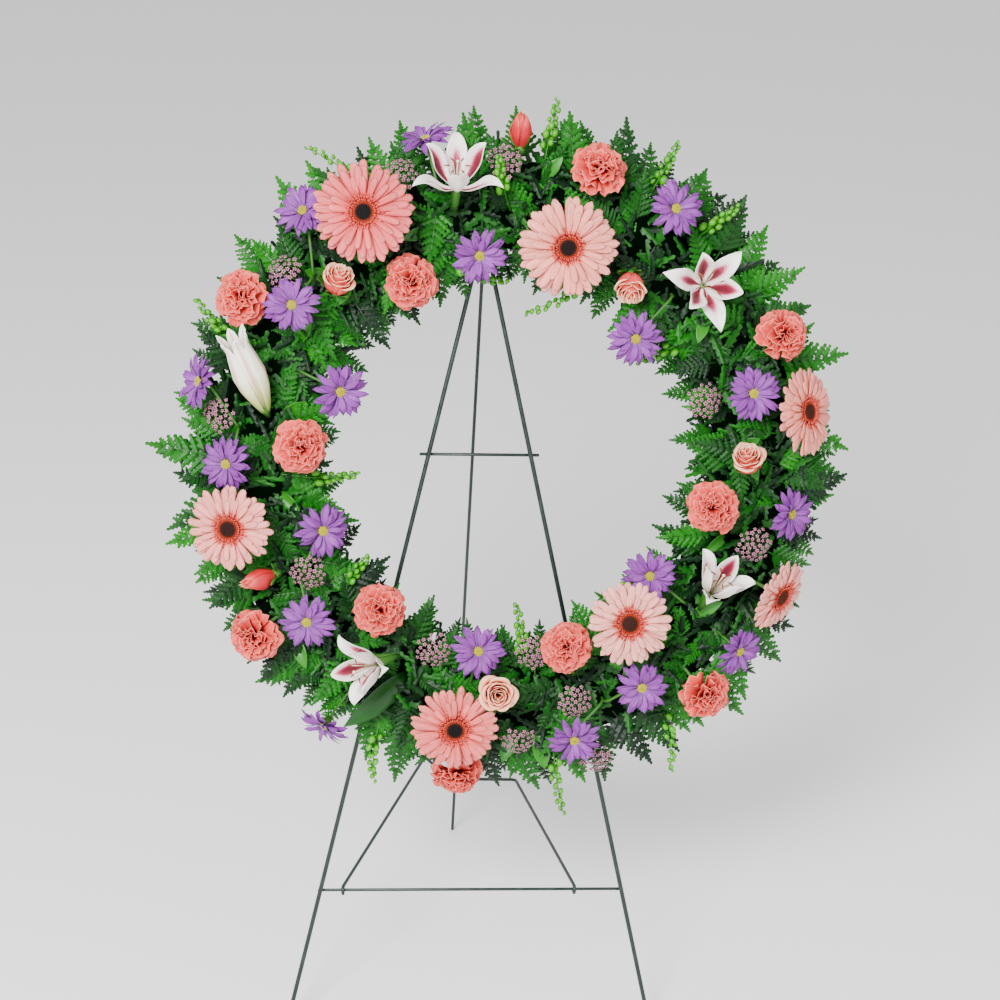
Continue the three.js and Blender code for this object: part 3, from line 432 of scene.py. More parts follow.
def turned_ring(section, steps=RING_STEPS, start=0.0, sweep=360.0, rough=0.0, seed=1):
    """A section of (radius, height) points turned round the ring."""
    whole = sweep >= 360
    rows = steps if whole else steps + 1
    dice = random.Random(seed)
    points = np.array([
        spot(start + sweep * i / steps, r + dice.uniform(-rough, rough), h + dice.uniform(-rough, rough))
        for i in range(rows) for r, h in section])
    count = len(section)
    faces = [(i * count + k, i * count + (k + 1) % count,
              ((i + 1) % rows) * count + (k + 1) % count, ((i + 1) % rows) * count + k)
             for i in range(steps) for k in range(count)]
    if not whole:
        faces += [tuple(reversed(range(count))), tuple(range((rows - 1) * count, rows * count))]
    return points, faces, np.tile((0.5, 0.5, 0.5), (len(points), 1))


def floral_foam():
    """Dull green foam: fine pores, a few darker wet patches."""
    material, nodes, link, shader = new_finish("floral_foam", 0.95)
    wet = add_group(nodes, mottle, Size=25.0, Contrast=0.7)
    pores = add_group(nodes, mottle, Size=1500.0, Contrast=1.6)
    tint = add_ramp(nodes, [(0.2, srgb(22, 48, 28)), (0.8, srgb(48, 84, 50))])
    link(wet.outputs["Mask"], tint.inputs["Fac"])
    link(tint.outputs["Color"], shader.inputs["Base Color"])
    add_bump(nodes, link, pores.outputs["Mask"], shader, 0.0006)
    return material


def tray_plastic():
    """Dark green moulded plastic, scuffed in faint patches."""
    material, nodes, link, shader = new_finish("tray_plastic")
    scuffs = add_group(nodes, mottle, Size=60.0, Contrast=1.4)
    grain = add_group(nodes, mottle, Size=900.0, Contrast=1.0)
    tint = add_ramp(nodes, [(0.3, srgb(8, 34, 16)), (0.8, srgb(16, 48, 26))])
    gloss = add_ramp(nodes, [(0.3, grey(0.38)), (0.8, grey(0.55))])
    link(scuffs.outputs["Mask"], tint.inputs["Fac"])
    link(scuffs.outputs["Mask"], gloss.inputs["Fac"])
    link(tint.outputs["Color"], shader.inputs["Base Color"])
    link(gloss.outputs["Color"], shader.inputs["Roughness"])
    add_bump(nodes, link, grain.outputs["Mask"], shader, 0.0002)
    return material


WALL = 0.0012
TRAY_RIM = 0.016
GROOVES = (0.242, 0.256, 0.270, 0.284, 0.298)
shoulder = 0.004
foam_inner, foam_outer, foam_back = RING_INNER + WALL + 0.0002, RING_OUTER - WALL - 0.0002, RING_BACK + WALL + 0.0002
foam_section = [
    (foam_inner, foam_back), (foam_outer, foam_back), (foam_outer, RING_FRONT - shoulder),
    (foam_outer - shoulder * 0.3, RING_FRONT - shoulder * 0.3), (foam_outer - shoulder, RING_FRONT),
    (foam_inner + shoulder, RING_FRONT), (foam_inner + shoulder * 0.3, RING_FRONT - shoulder * 0.3),
    (foam_inner, RING_FRONT - shoulder)]
tray_section = [(RING_INNER, RING_BACK)]
for groove in GROOVES:
    tray_section += [(groove - 0.002, RING_BACK), (groove - 0.0012, RING_BACK + 0.0008),
                     (groove + 0.0012, RING_BACK + 0.0008), (groove + 0.002, RING_BACK)]
tray_section += [
    (RING_OUTER, RING_BACK), (RING_OUTER, TRAY_RIM), (RING_OUTER - WALL, TRAY_RIM),
    (RING_OUTER - WALL, RING_BACK + WALL), (RING_INNER + WALL, RING_BACK + WALL), (RING_INNER + WALL, TRAY_RIM),
    (RING_INNER, TRAY_RIM)]
foam_parts = [turned_ring(foam_section), (*turned_ring(tray_section), 1)]
make_piece("foam_ring_block", on_wreath(foam_parts), [floral_foam(), tray_plastic()], easel_body,
           ["foam_ring"], smooth=False)

# Tie wires: soft green wire, taken round the ring and what it leans on at the arch and at both
# legs, and twisted tight. Two strands lie side by side.
MM = 0.001
TIE_CLOCKS = (352.2, 210.6, 161.7)
STRAND_RADIUS = 0.42 * MM
STRAND_OFFSET = 0.46 * MM
TWISTS = 40
TIE_LOOP = [(222, -3.7), (317.2, -3.7), (317.2, 54.2), (307.2, 64.2), (232, 64.2), (222, 54.2)]


def tie_steel():
    """Drawn wire in thin green lacquer, rubbed bare in places."""
    material, nodes, link, shader = new_finish("tie_wire")
    rubbed = add_group(nodes, mottle, Size=260.0, Contrast=3.0)
    tint = add_ramp(nodes, [(0.3, srgb(38, 66, 44)), (0.8, srgb(92, 104, 92))])
    gloss = add_ramp(nodes, [(0.3, grey(0.5)), (0.8, grey(0.32))])
    link(rubbed.outputs["Mask"], tint.inputs["Fac"])
    link(rubbed.outputs["Mask"], gloss.inputs["Fac"])
    link(tint.outputs["Color"], shader.inputs["Base Color"])
    link(gloss.outputs["Color"], shader.inputs["Roughness"])
    shader.inputs["Metallic"].default_value = 0.6
    return material


tie_finish = tie_steel()
for number, clock in enumerate(TIE_CLOCKS, 1):
    out = outward(clock)
    sideways = outward(clock + 90)
    corners = [out * (r * MM) + np.array((0, 0, h * MM)) for r, h in TIE_LOOP]
    loop = []
    for k, corner in enumerate(corners):
        before, after = corners[k - 1], corners[(k + 1) % len(corners)]
        run_in = corner + (before - corner) / np.linalg.norm(before - corner) * 3 * MM
        run_out = corner + (after - corner) / np.linalg.norm(after - corner) * 3 * MM
        loop += [run_in, corner * 0.5 + (run_in + run_out) * 0.25, run_out]
    loop = np.array(loop)
    lengths = np.linalg.norm(np.roll(loop, -1, axis=0) - loop, axis=1)
    reach = np.concatenate([[0], np.cumsum(lengths)])
    steps = np.linspace(0, reach[-1], 7 * TWISTS, endpoint=False)
    ring_loop = np.vstack([loop, loop[:1]])
    centre_line = np.array([np.interp(steps, reach, ring_loop[:, axis]) for axis in range(3)]).T
    ahead = np.roll(centre_line, -1, axis=0) - np.roll(centre_line, 1, axis=0)
    across = np.cross(ahead, sideways)
    across /= np.linalg.norm(across, axis=1)[:, None]
    strands = []
    for half_turn in (0, math.pi):
        twist = 2 * math.pi * TWISTS * steps / reach[-1] + half_turn
        offset = np.cos(twist)[:, None] * sideways + np.sin(twist)[:, None] * across
        strands.append(tube(centre_line + offset * STRAND_OFFSET, STRAND_RADIUS, 5, closed=True))
    make_piece(f"tie_wire_{number}_strands", on_wreath(strands), [tie_finish], easel_body,
               [f"tie_wire_{number}"])

# Gerberas: two rings of long grooved petals with rounded tips, rings of short florets inside
# them, and a dark domed button. Each head stands on its own bare stem, pushed into the foam.
STEM_NEAR, STEM_FAR = 0.246, 0.294
STEM_FOOT = 0.045
PETAL_THICK = 0.35 * MM
GOLDEN_ANGLE = 2.39996
GERBERAS = [
    # clock, radius, height, tilt, leaning towards, reach in mm, colour, colour of the middle
    (328.7, 309, 120, 6, 328.7, 54, (232, 76, 78), (5, 1, 3)),
    (12.0, 237, 120, 4, 180.0, 53, (250, 140, 124), (22, 4, 3)),
    (79.0, 317, 88, 46, 79.0, 49, (250, 138, 120), (58, 20, 6)),
    (257.3, 305, 106, 14, 257.3, 47, (250, 142, 132), (44, 12, 5)),
    (191.5, 289, 108, 8, 191.5, 48, (240, 94, 90), (8, 1, 3)),
    (142.5, 205, 125, 6, 330.0, 46, (250, 156, 144), (52, 18, 6)),
    (115.8, 325, 80, 48, 115.8, 42, (250, 148, 136), (74, 30, 8)),
]
heads = []


def head_axes(clock, tilt, towards, spin=0.0):
    """A bloom's own axes as columns in the wreath's axes. The last is the way its face looks."""
    lean = math.radians(tilt)
    axis = np.array((0, 0, math.cos(lean))) + outward(towards) * math.sin(lean)
    side = np.cross((0, 1, 0), axis)
    side /= np.linalg.norm(side)
    over = np.cross(axis, side)
    return np.array((side * math.cos(spin) + over * math.sin(spin), over * math.cos(spin) - side * math.sin(spin), axis)).T


def at_head(parts, axes, centre):
    return [(part[0] @ axes.T + centre, *part[1:]) for part in parts]


def keep_clear(centre, axes, *zones):
    """Zones of a head that foliage keeps out of: radius, from low to high along its axis."""
    for radius, low, high in zones:
        heads.append((centre, axes[:, 2], radius, low, high))


def sheet(grid, maps, thickness, front=0, back=None):
    """A thin closed sheet over a grid of points, with one finish on its front and one behind."""
    rows, columns = grid.shape[:2]
    normals = np.cross(np.gradient(grid, axis=0), np.gradient(grid, axis=1))
    length = np.linalg.norm(normals, axis=2, keepdims=True)
    normals = normals / np.maximum(length, 1e-12)
    points = np.concatenate([(grid + normals * thickness / 2).reshape(-1, 3),
                             (grid - normals * thickness / 2).reshape(-1, 3)])
    count = rows * columns
    at = np.arange(count).reshape(rows, columns)
    quads = np.stack([at[:-1, :-1], at[1:, :-1], at[1:, 1:], at[:-1, 1:]], axis=-1).reshape(-1, 4)
    edge = np.concatenate([at[0, :-1], at[:-1, -1], at[-1, :0:-1], at[:0:-1, 0]])
    after = np.roll(edge, -1)
    rim = np.stack([edge, after, after + count, edge + count], axis=-1)
    faces = np.concatenate([quads, quads[:, ::-1] + count, rim]).tolist()
    finish = [front] * len(quads) + [front if back is None else back] * len(quads) + [front] * len(rim)
    return points, faces, np.concatenate([maps.reshape(-1, 3)] * 2), finish


def petal(length, width, outline, arch, rows=7, columns=6, cup=0.0, ridges=0.0, round_tip=0.1, notch=0.0,
          tint=0.5, thickness=PETAL_THICK, back=None, ruffle=None):
    """A petal lying along x from the origin, with its face up. outline gives its share of the full
    width and arch its height, both from the share of its length."""
    u = 1 - (1 - np.linspace(0, 1, rows + 1)[:, None]) ** 1.5
    v = np.linspace(-1, 1, columns + 1)[None, :]
    half = width / 2 * outline(u)
    x = length * u * (1 - round_tip * v ** 2 * u ** 3 - notch * np.exp(-(v / 0.3) ** 2) * u ** 6)
    y = half * v
    z = length * arch(u) + cup * half * v ** 2 + ridges * np.cos(3 * math.pi * v) * np.sin(math.pi * u) ** 0.5
    if ruffle is not None:
        extra_out, extra_up = ruffle(u, v)
        x = x + extra_out
        z = z + extra_up
    grid = np.stack(np.broadcast_arrays(x, y, z), axis=-1)
    maps = np.stack(np.broadcast_arrays(u, (v + 1) / 2, np.full_like(grid[..., 0], tint)), axis=-1)
    return sheet(grid, maps, thickness, 0, back)


def turned(part, angle, radius=0.0, height=0.0, pitch=0.0, roll=0.0):
    """A petal rolled about its length, pitched up, moved out from the axis and turned round it."""
    x, y, z = part[0].T
    y, z = y * math.cos(roll) - z * math.sin(roll), y * math.sin(roll) + z * math.cos(roll)
    x, z = x * math.cos(pitch) - z * math.sin(pitch), x * math.sin(pitch) + z * math.cos(pitch)
    x, z = x + radius, z + height
    points = np.array((x * math.cos(angle) - y * math.sin(angle), x * math.sin(angle) + y * math.cos(angle), z)).T
    return (points, *part[1:])


def spun(profile, sides=16, finish=0):
    """A closed body turned round the z axis from (radius, height) points."""
    points = [(r * math.cos(2 * math.pi * k / sides), r * math.sin(2 * math.pi * k / sides), h)
              for r, h in profile for k in range(sides)]
    faces = [(i * sides + k, i * sides + (k + 1) % sides, (i + 1) * sides + (k + 1) % sides, (i + 1) * sides + k)
             for i in range(len(profile) - 1) for k in range(sides)]
    faces += [tuple(reversed(range(sides))), tuple(range((len(profile) - 1) * sides, len(profile) * sides))]
    along = np.repeat(np.linspace(0, 1, len(profile)), sides)
    return np.array(points), faces, np.stack([along, along * 0 + 0.5, along * 0 + 0.5], axis=-1), finish


def stem(centre, axes, depth, radius, finish, under=None):
    """A stem out of the foam, bent over to the base of a head. It rises under the head's middle, or
    under the place given."""
    base = centre - axes[:, 2] * depth
    below = centre if under is None else under
    reach = np.hypot(below[0], below[1])
    foot = np.array((*(below[:2] / reach * np.clip(reach, STEM_NEAR, STEM_FAR)), STEM_FOOT))
    knee = foot + np.array((0, 0, 0.55 * np.linalg.norm(base - foot)))
    corners = [Vector(p) for p in (foot, knee, base, base + axes[:, 2] * 0.004)]
    return (*tube(rounded_path(corners, 0.012, 4), radius, 8), finish)


def button(radius, dome, count, size, finish, tint_low=0.0, tint_high=1.0):
    """A domed disc of small florets in the spiral that real ones grow in."""
    parts = []
    for i in range(count):
        share = math.sqrt((i + 0.5) / count)
        angle = i * GOLDEN_ANGLE
        place = (radius * share * math.cos(angle), radius * share * math.sin(angle), dome * (1 - share ** 2))
        points, faces, maps = bead(place, (size, size, size * 1.5), 4, 5)
        maps[:, 0] = tint_low + (tint_high - tint_low) * share
        parts.append((points, faces, maps, finish))
    return parts


def new_petal_lines():
    """What every petal and leaf is coloured by: the shares along and across it, its own tint, and
    fine lines that run along it."""
    group = bpy.data.node_groups.new("petal_lines", "ShaderNodeTree")
    for socket, low in (("Count", 9.0), ("Contrast", 1.4)):
        made = group.interface.new_socket(socket, in_out="INPUT", socket_type="NodeSocketFloat")
        made.default_value = low
    for socket in ("Along", "Across", "Tint", "Lines"):
        group.interface.new_socket(socket, in_out="OUTPUT", socket_type="NodeSocketFloat")
    nodes, link = group.nodes, group.links.new
    given, result = nodes.new("NodeGroupInput"), nodes.new("NodeGroupOutput")
    read, parted = nodes.new("ShaderNodeAttribute"), nodes.new("ShaderNodeSeparateColor")
    read.attribute_name = "petal_map"
    link(read.outputs["Color"], parted.inputs["Color"])
    across, apart, shifted = (nodes.new("ShaderNodeMath") for _ in range(3))
    across.operation, apart.operation, shifted.operation = "MULTIPLY", "MULTIPLY", "MULTIPLY_ADD"
    apart.inputs[1].default_value = 60
    shifted.inputs[1].default_value = 0.35
    stretched, noise = nodes.new("ShaderNodeCombineXYZ"), nodes.new("ShaderNodeTexNoise")
    noise.inputs["Scale"].default_value = 1
    noise.inputs["Detail"].default_value = 3
    centred, scaled, back = (nodes.new("ShaderNodeMath") for _ in range(3))
    centred.operation, scaled.operation, back.operation = "SUBTRACT", "MULTIPLY", "ADD"
    centred.inputs[1].default_value = 0.5
    back.use_clamp = True
    link(parted.outputs["Green"], across.inputs[0])
    link(given.outputs["Count"], across.inputs[1])
    link(parted.outputs["Blue"], apart.inputs[0])
    link(parted.outputs["Red"], stretched.inputs["X"])
    link(across.outputs[0], stretched.inputs["Y"])
    link(apart.outputs[0], stretched.inputs["Z"])
    link(stretched.outputs[0], noise.inputs["Vector"])
    link(noise.outputs["Fac"], centred.inputs[0])
    link(centred.outputs[0], scaled.inputs[0])
    link(given.outputs["Contrast"], scaled.inputs[1])
    link(parted.outputs["Blue"], shifted.inputs[0])
    shifted.inputs[2].default_value = 0.325
    link(scaled.outputs[0], back.inputs[0])
    link(shifted.outputs[0], back.inputs[1])
    link(parted.outputs["Red"], result.inputs["Along"])
    link(parted.outputs["Green"], result.inputs["Across"])
    link(parted.outputs["Blue"], result.inputs["Tint"])
    link(back.outputs[0], result.inputs["Lines"])
    return group


petal_lines = new_petal_lines()


def mixed(nodes, link, factor, first, second):
    """The two colours mixed by the factor. Each colour is an output, or a fixed colour."""
    node = nodes.new("ShaderNodeMix")
    node.data_type = "RGBA"
    link(factor, node.inputs[0])
    for socket, colour in ((node.inputs[6], first), (node.inputs[7], second)):
        if isinstance(colour, tuple):
            socket.default_value = (*colour, 1)
        else:
            link(colour, socket)
    return node.outputs[2]


def scaled_colour(colour, share, towards=(0, 0, 0)):
    return tuple(c * share + t * (1 - share) for c, t in zip(colour, towards))


def petal_finish(name, stops, deep=0.72, count=9.0, contrast=1.4, roughness=0.55, bump=0.0003, soft=0.0):
    """A petal's skin: colours along its length, each darkened to the share deep between its lines."""
    material, nodes, link, shader = new_finish(name, roughness)
    lines = add_group(nodes, petal_lines, Count=count, Contrast=contrast)
    light = add_ramp(nodes, stops)
    dark = add_ramp(nodes, [(place, scaled_colour(colour, deep)) for place, colour in stops])
    link(lines.outputs["Along"], light.inputs["Fac"])
    link(lines.outputs["Along"], dark.inputs["Fac"])
    colour = mixed(nodes, link, lines.outputs["Lines"], dark.outputs["Color"], light.outputs["Color"])
    link(colour, shader.inputs["Base Color"])
    add_bump(nodes, link, lines.outputs["Lines"], shader, bump)
    shader.inputs["Specular IOR Level"].default_value = 0.35
    shader.inputs["Sheen Weight"].default_value = soft
    return material


stem_green = petal_finish("stem_green", [(0, srgb(30, 80, 14)), (1, srgb(58, 114, 26))], 0.75, 6, 1.2, 0.5)
gerbera_floret = petal_finish("gerbera_floret", [
    (0.0, srgb(136, 14, 12)), (0.5, srgb(216, 52, 42)), (1.0, srgb(246, 116, 92))], 0.6, 4, 1.5, 0.6)


def gerbera_outline(u):
    return np.interp(u, (0, 0.2, 0.5, 0.78, 0.92, 0.98, 1), (0.46, 0.66, 0.92, 1.0, 0.88, 0.6, 0.32))


for number, (clock, radius, height, tilt, towards, reach, colour, middle) in enumerate(GERBERAS, 1):
    dice = random.Random(100 + number)
    axes = head_axes(clock, tilt, towards, dice.uniform(0, 6))
    centre = spot(clock, radius * MM, height * MM)
    reach *= MM
    keep_clear(centre, axes, (reach, -4 * MM, 9 * MM), (0.014, -0.02, -0.004))
    parts = [stem(centre, axes, 0.018, 2.3 * MM, 3)]
    head = [spun([(2.4 * MM, -0.018), (8 * MM, -0.011), (13 * MM, -4 * MM), (13.5 * MM, -1 * MM)], 16, 3)]
    for layer, (count, share, width, lift, pitch) in enumerate((
            (26, 1.0, 9.4, 0.2, 1.5), (24, 0.93, 8.8, 1.6, 5), (17, 0.72, 7.0, 3.2, 10))):
        for i in range(count):
            long = reach * share - 0.010 + dice.uniform(-3.4, 0.8) * MM
            droop = dice.uniform(0.0, 0.13)
            head.append(turned(
                petal(long, width * MM * reach / 0.05 * dice.uniform(0.86, 1.08), gerbera_outline,
                      lambda u: 0.06 * np.sin(math.pi * u) - droop * u ** 2,
                      6, 5, -0.16, 0.42 * MM, 0.03, dice.choice((0.0, 0.03, 0.06)), dice.random(), back=1),
                2 * math.pi * (i + layer * 0.45) / count + dice.uniform(-0.07, 0.07), 0.010, lift * MM,
                math.radians(pitch + dice.uniform(-3.5, 4)), dice.uniform(-0.22, 0.22)))
    for count, start, long, pitch in ((46, 13.5, 9.0, 18), (42, 11.6, 7.6, 34), (36, 10.0, 5.6, 55)):
        for i in range(count):
            points, faces, maps, _ = turned(
                petal(long * MM * dice.uniform(0.8, 1.15), 2.1 * MM, gerbera_outline, lambda u: 0.1 * u - 0.28 * u ** 2,
                      2, 2, 0.2, 0, 0.3, 0, dice.random()),
                2 * math.pi * i / count + dice.uniform(-0.06, 0.06), start * MM, 4.2 * MM,
                math.radians(pitch + dice.uniform(-9, 9)))
            head.append((points, faces, maps, 4))
    dome = spun([(13 * MM, 0), (12 * MM, 3.6 * MM), (8 * MM, 5 * MM), (4 * MM, 6 * MM), (1 * MM, 6.2 * MM)], 20, 2)
    dome[2][:, 0] = np.clip(np.hypot(dome[0][:, 0], dome[0][:, 1]) / (12 * MM), 0, 1)
    head.append(dome)
    head += [(part[0] + np.array((0, 0, 4.6 * MM)), *part[1:]) for part in button(11.2 * MM, 2.4 * MM, 150, 0.66 * MM, 2)]
    tone = srgb(*colour)
    finish = petal_finish(f"gerbera_petal_{number}", [
        (0.0, scaled_colour(tone, 0.7)), (0.3, tone), (0.85, scaled_colour(tone, 0.94, (1, 0.9, 0.86))),
        (1.0, scaled_colour(tone, 0.84, (1, 0.9, 0.86)))], 0.52, 12, 2.2, 0.5)
    under = petal_finish(f"gerbera_back_{number}", [
        (0.0, scaled_colour(tone, 0.7, (0.75, 0.8, 0.5))), (1.0, scaled_colour(tone, 0.8, (1, 0.9, 0.88)))], 0.8, 10)
    centre_finish = petal_finish(f"gerbera_middle_{number}", [
        (0.0, srgb(*middle)), (0.6, srgb(*middle)), (0.74, srgb(96, 26, 8)), (0.88, srgb(196, 66, 24)),
        (1.0, srgb(222, 84, 48))], 0.7, 9, 1.2, 0.9)
    make_piece(f"gerbera_{number}_bloom", on_wreath(parts + at_head(head, axes, centre)),
               [finish, under, centre_finish, stem_green, gerbera_floret], easel_body,
               [f"gerbera_{number}"])

# Daisies: spray chrysanthemums, with two loose rings of pointed petals round a yellow-green
# button. Where two grow on one spray, their stems meet at its foot.
DAISY_REACH = 0.032
DAISIES = [
    [(344, 351, 68, 70, 344)],
    [(319.7, 344, 80, 34, 319.7), (305.7, 287, 108, 10, 305.7)],
    [(349.6, 225, 105, 12, 170)],
    [(30.7, 317, 105, 14, 30.7)],
    [(42.5, 186, 98, 10, 222)],
    [(71.6, 262, 115, 8, 71.6)],
    [(284.1, 340, 72, 58, 284.1), (269.8, 301, 92, 22, 269.8)],
    [(293.1, 199, 103, 14, 113)],
    [(250.8, 212, 100, 10, 90), (232.6, 272, 113, 8, 232.6)],
    [(99.6, 305, 84, 36, 99.6)],
    [(189.5, 203, 98, 12, 0)],
    [(149, 274, 116, 6, 149), (166.4, 307, 96, 20, 166.4)],
    [(128.8, 320, 90, 34, 128.8)],
    [(214, 352, 62, 62, 214)],
    [(128.4, 192, 88, 16, 300)],
]


def daisy_outline(u):
    return np.interp(u, (0, 0.12, 0.4, 0.68, 0.86, 0.95, 1), (0.4, 0.6, 0.92, 1.0, 0.78, 0.5, 0.16))


violet = srgb(146, 56, 166)
daisy_finish = petal_finish("lavender_petal", [
    (0.0, srgb(190, 150, 218)), (0.2, srgb(156, 74, 180)), (0.7, violet), (1.0, srgb(124, 40, 148))], 0.38, 12, 2.4, 0.5)
daisy_back = petal_finish("lavender_back", [(0.0, srgb(190, 180, 206)), (1.0, srgb(160, 130, 206))], 0.8, 10)
daisy_button = petal_finish("daisy_button", [
    (0.0, srgb(110, 124, 8)), (0.45, srgb(176, 170, 12)), (1.0, srgb(220, 196, 16))], 0.75, 9, 1.2, 0.8)
for number, spray in enumerate(DAISIES, 1):
    dice = random.Random(200 + number)
    parts = []
    root = None
    if len(spray) == 2:
        root = (spot(spray[0][0], np.clip(spray[0][1] * MM, STEM_NEAR, STEM_FAR), 0)
                + spot(spray[1][0], np.clip(spray[1][1] * MM, STEM_NEAR, STEM_FAR), 0)) / 2
    for clock, radius, height, tilt, towards in spray:
        axes = head_axes(clock, tilt, towards, dice.uniform(0, 6))
        centre = spot(clock, radius * MM, height * MM)
        keep_clear(centre, axes, (0.033, -3 * MM, 6 * MM), (7 * MM, -0.012, -3 * MM))
        parts.append(stem(centre, axes, 0.011, 1.5 * MM, 3, root))
        head = [spun([(1.6 * MM, -0.011), (4.5 * MM, -7 * MM), (6 * MM, -3.5 * MM), (5.6 * MM, -1 * MM)], 12, 3)]
        for layer, (count, long, width, lift, pitch) in enumerate((
                (14, 27.5, 8.2, 0.0, 3), (12, 26.0, 7.8, 0.9, 13), (6, 21.0, 6.4, 1.8, 30))):
            for i in range(count):
                droop = dice.uniform(-0.06, 0.2)
                head.append(turned(
                    petal(long * MM * dice.uniform(0.82, 1.06), width * MM * dice.uniform(0.82, 1.12), daisy_outline,
                          lambda u: 0.06 * np.sin(math.pi * u) - droop * u ** 2, 4, 4, 0.42, 0.3 * MM, 0.08, 0,
                          dice.random(), back=1),
                    2 * math.pi * (i + layer * 0.5) / count + dice.uniform(-0.12, 0.12), 4.2 * MM, lift * MM,
                    math.radians(pitch + dice.uniform(-6, 9)), dice.uniform(-0.45, 0.45)))
        head.append(spun([(4.8 * MM, 0), (4.4 * MM, 2.4 * MM), (2.6 * MM, 3.6 * MM), (0.8 * MM, 4.0 * MM)], 12, 2))
        head += [(part[0] + np.array((0, 0, 2.7 * MM)), *part[1:])
                 for part in button(5.0 * MM, 1.6 * MM, 46, 0.66 * MM, 2)]
        parts += at_head(head, axes, centre)
    make_piece(f"daisy_spray_{number}_blooms", on_wreath(parts), [daisy_finish, daisy_back, daisy_button, stem_green],
               easel_body, [f"daisy_spray_{number}"])

# Carnations: a green tube of a calyx that bursts into a dense ball of petals, each with a frilled
# and toothed edge.
CARNATIONS = [
    (301.3, 334, 88, 20, 301.3), (330.1, 222, 100, 14, 150), (14.7, 322, 94, 32, 14.7), (63.2, 316, 96, 30, 63.2),
    (275, 224, 106, 10, 95), (100.9, 216, 106, 12, 280), (221.7, 209, 96, 12, 41), (235.4, 330, 90, 30, 235.4),
    (162.6, 203, 104, 12, 342), (139.3, 328, 94, 30, 139.3), (188.8, 346, 72, 40, 188.8),
]
# Layers of petals: how many, length, width at the frill, height of their foot and pitch.
CARNATION_LAYERS = (
    (6, 28, 28, -1, 0), (7, 26.5, 26, 0, 17), (7, 25, 25, 1, 33), (7, 23, 23, 2, 48), (6, 21.5, 21, 3, 62), (5, 20, 19, 4, 74),
    (4, 19, 16, 4, 84))


def carnation_outline(u):
    return np.interp(u, (0, 0.3, 0.6, 0.85, 1), (0.16, 0.32, 0.72, 1.0, 0.96))


def frill(dice, size):
    """The waves of a frilled edge, and its teeth."""
    first, second = dice.uniform(0, 6.3), dice.uniform(0, 6.3)
    waves = dice.uniform(1.2, 2.0)

    def shape(u, v):
        wave = np.sin(waves * math.pi * v + first) + 0.5 * np.sin((waves + 1.7) * math.pi * v + second)
        teeth = np.where(np.arange(v.shape[1]) % 2, 0.5, -0.5) * MM
        return teeth[None, :] * u ** 8 - 1.5 * MM * np.cos(2.3 * v + second) * u ** 3, wave * size * u ** 1.8

    return shape


# The petals darken to crimson towards their foot, painted shade deep in the ball. Their pale frilled edge is their own
# colour.
coral = srgb(232, 70, 62)
salmon_with_painted_shade = petal_finish("salmon_petal", [
    (0.0, srgb(120, 8, 14)), (0.4, srgb(180, 24, 26)), (0.7, coral), (0.94, srgb(236, 82, 72)),
    (1.0, srgb(248, 128, 114))], 0.55, 10, 1.9, 0.6)
for number, (clock, radius, height, tilt, towards) in enumerate(CARNATIONS, 1):
    dice = random.Random(300 + number)
    axes = head_axes(clock, tilt, towards, dice.uniform(0, 6))
    centre = spot(clock, radius * MM, height * MM)
    keep_clear(centre, axes, (0.029, -0.010, 0.019), (9 * MM, -0.03, -0.010))
    head = [spun([(2 * MM, -0.030), (6 * MM, -0.025), (7.2 * MM, -0.016), (7.6 * MM, -9 * MM), (6.5 * MM, -3 * MM)], 14, 1)]
    for layer, (count, long, width, lift, pitch) in enumerate(CARNATION_LAYERS):
        for i in range(count):
            head.append(turned(
                petal(long * MM * dice.uniform(0.9, 1.04), width * MM * dice.uniform(0.85, 1.12), carnation_outline,
                      lambda u: 0.10 * u - 0.22 * u ** 2, 5, 8, dice.uniform(-0.1, 0.35), 0, 0.16, 0, dice.random(),
                      thickness=0.3 * MM, ruffle=frill(dice, 3.2 * MM)),
                2 * math.pi * (i + layer * 0.37) / count + dice.uniform(-0.2, 0.2), 1.5 * MM, lift * MM - 2 * MM,
                math.radians(pitch + dice.uniform(-8, 8)), dice.uniform(-0.5, 0.5)))
    for i in range(5):
        head.append(turned(petal(8 * MM, 6 * MM, daisy_outline, lambda u: 0.1 * u ** 2, 3, 2, 0.5, 0, 0.2, 0, 0.5),
                           2 * math.pi * i / 5, 6.6 * MM, -8 * MM, math.radians(62)))
        head[-1] = (*head[-1][:3], [1] * len(head[-1][1]))
    parts = [stem(centre, axes, 0.030, 2 * MM, 1)] + at_head(head, axes, centre)
    make_piece(f"carnation_{number}_bloom", on_wreath(parts), [salmon_with_painted_shade, stem_green], easel_body,
               [f"carnation_{number}"])

# Lilies: six broad tepals that arch out of a narrow throat, white with a crimson flare down the
# middle. Inside stand six stamens with brown anthers, and one style.
LILIES = [
    # clock, radius, height, tilt, leaning towards, turn in degrees, how open, reach in mm
    (347.5, 303, 106, 50, 0, 0, 0.64, 64),
    (44.9, 275, 112, 8, 44.9, -45, 0.95, 50),
    (214.6, 258, 112, 46, 262, 40, 0.68, 50),
    (121, 254, 100, 48, 20, 15, 0.62, 48),
]


INNER_CLOSED = 0.46


def tepal_outline(u):
    return np.interp(u, (0, 0.1, 0.25, 0.42, 0.6, 0.78, 0.9, 1), (0.2, 0.42, 0.78, 1.0, 0.94, 0.62, 0.3, 0.01))


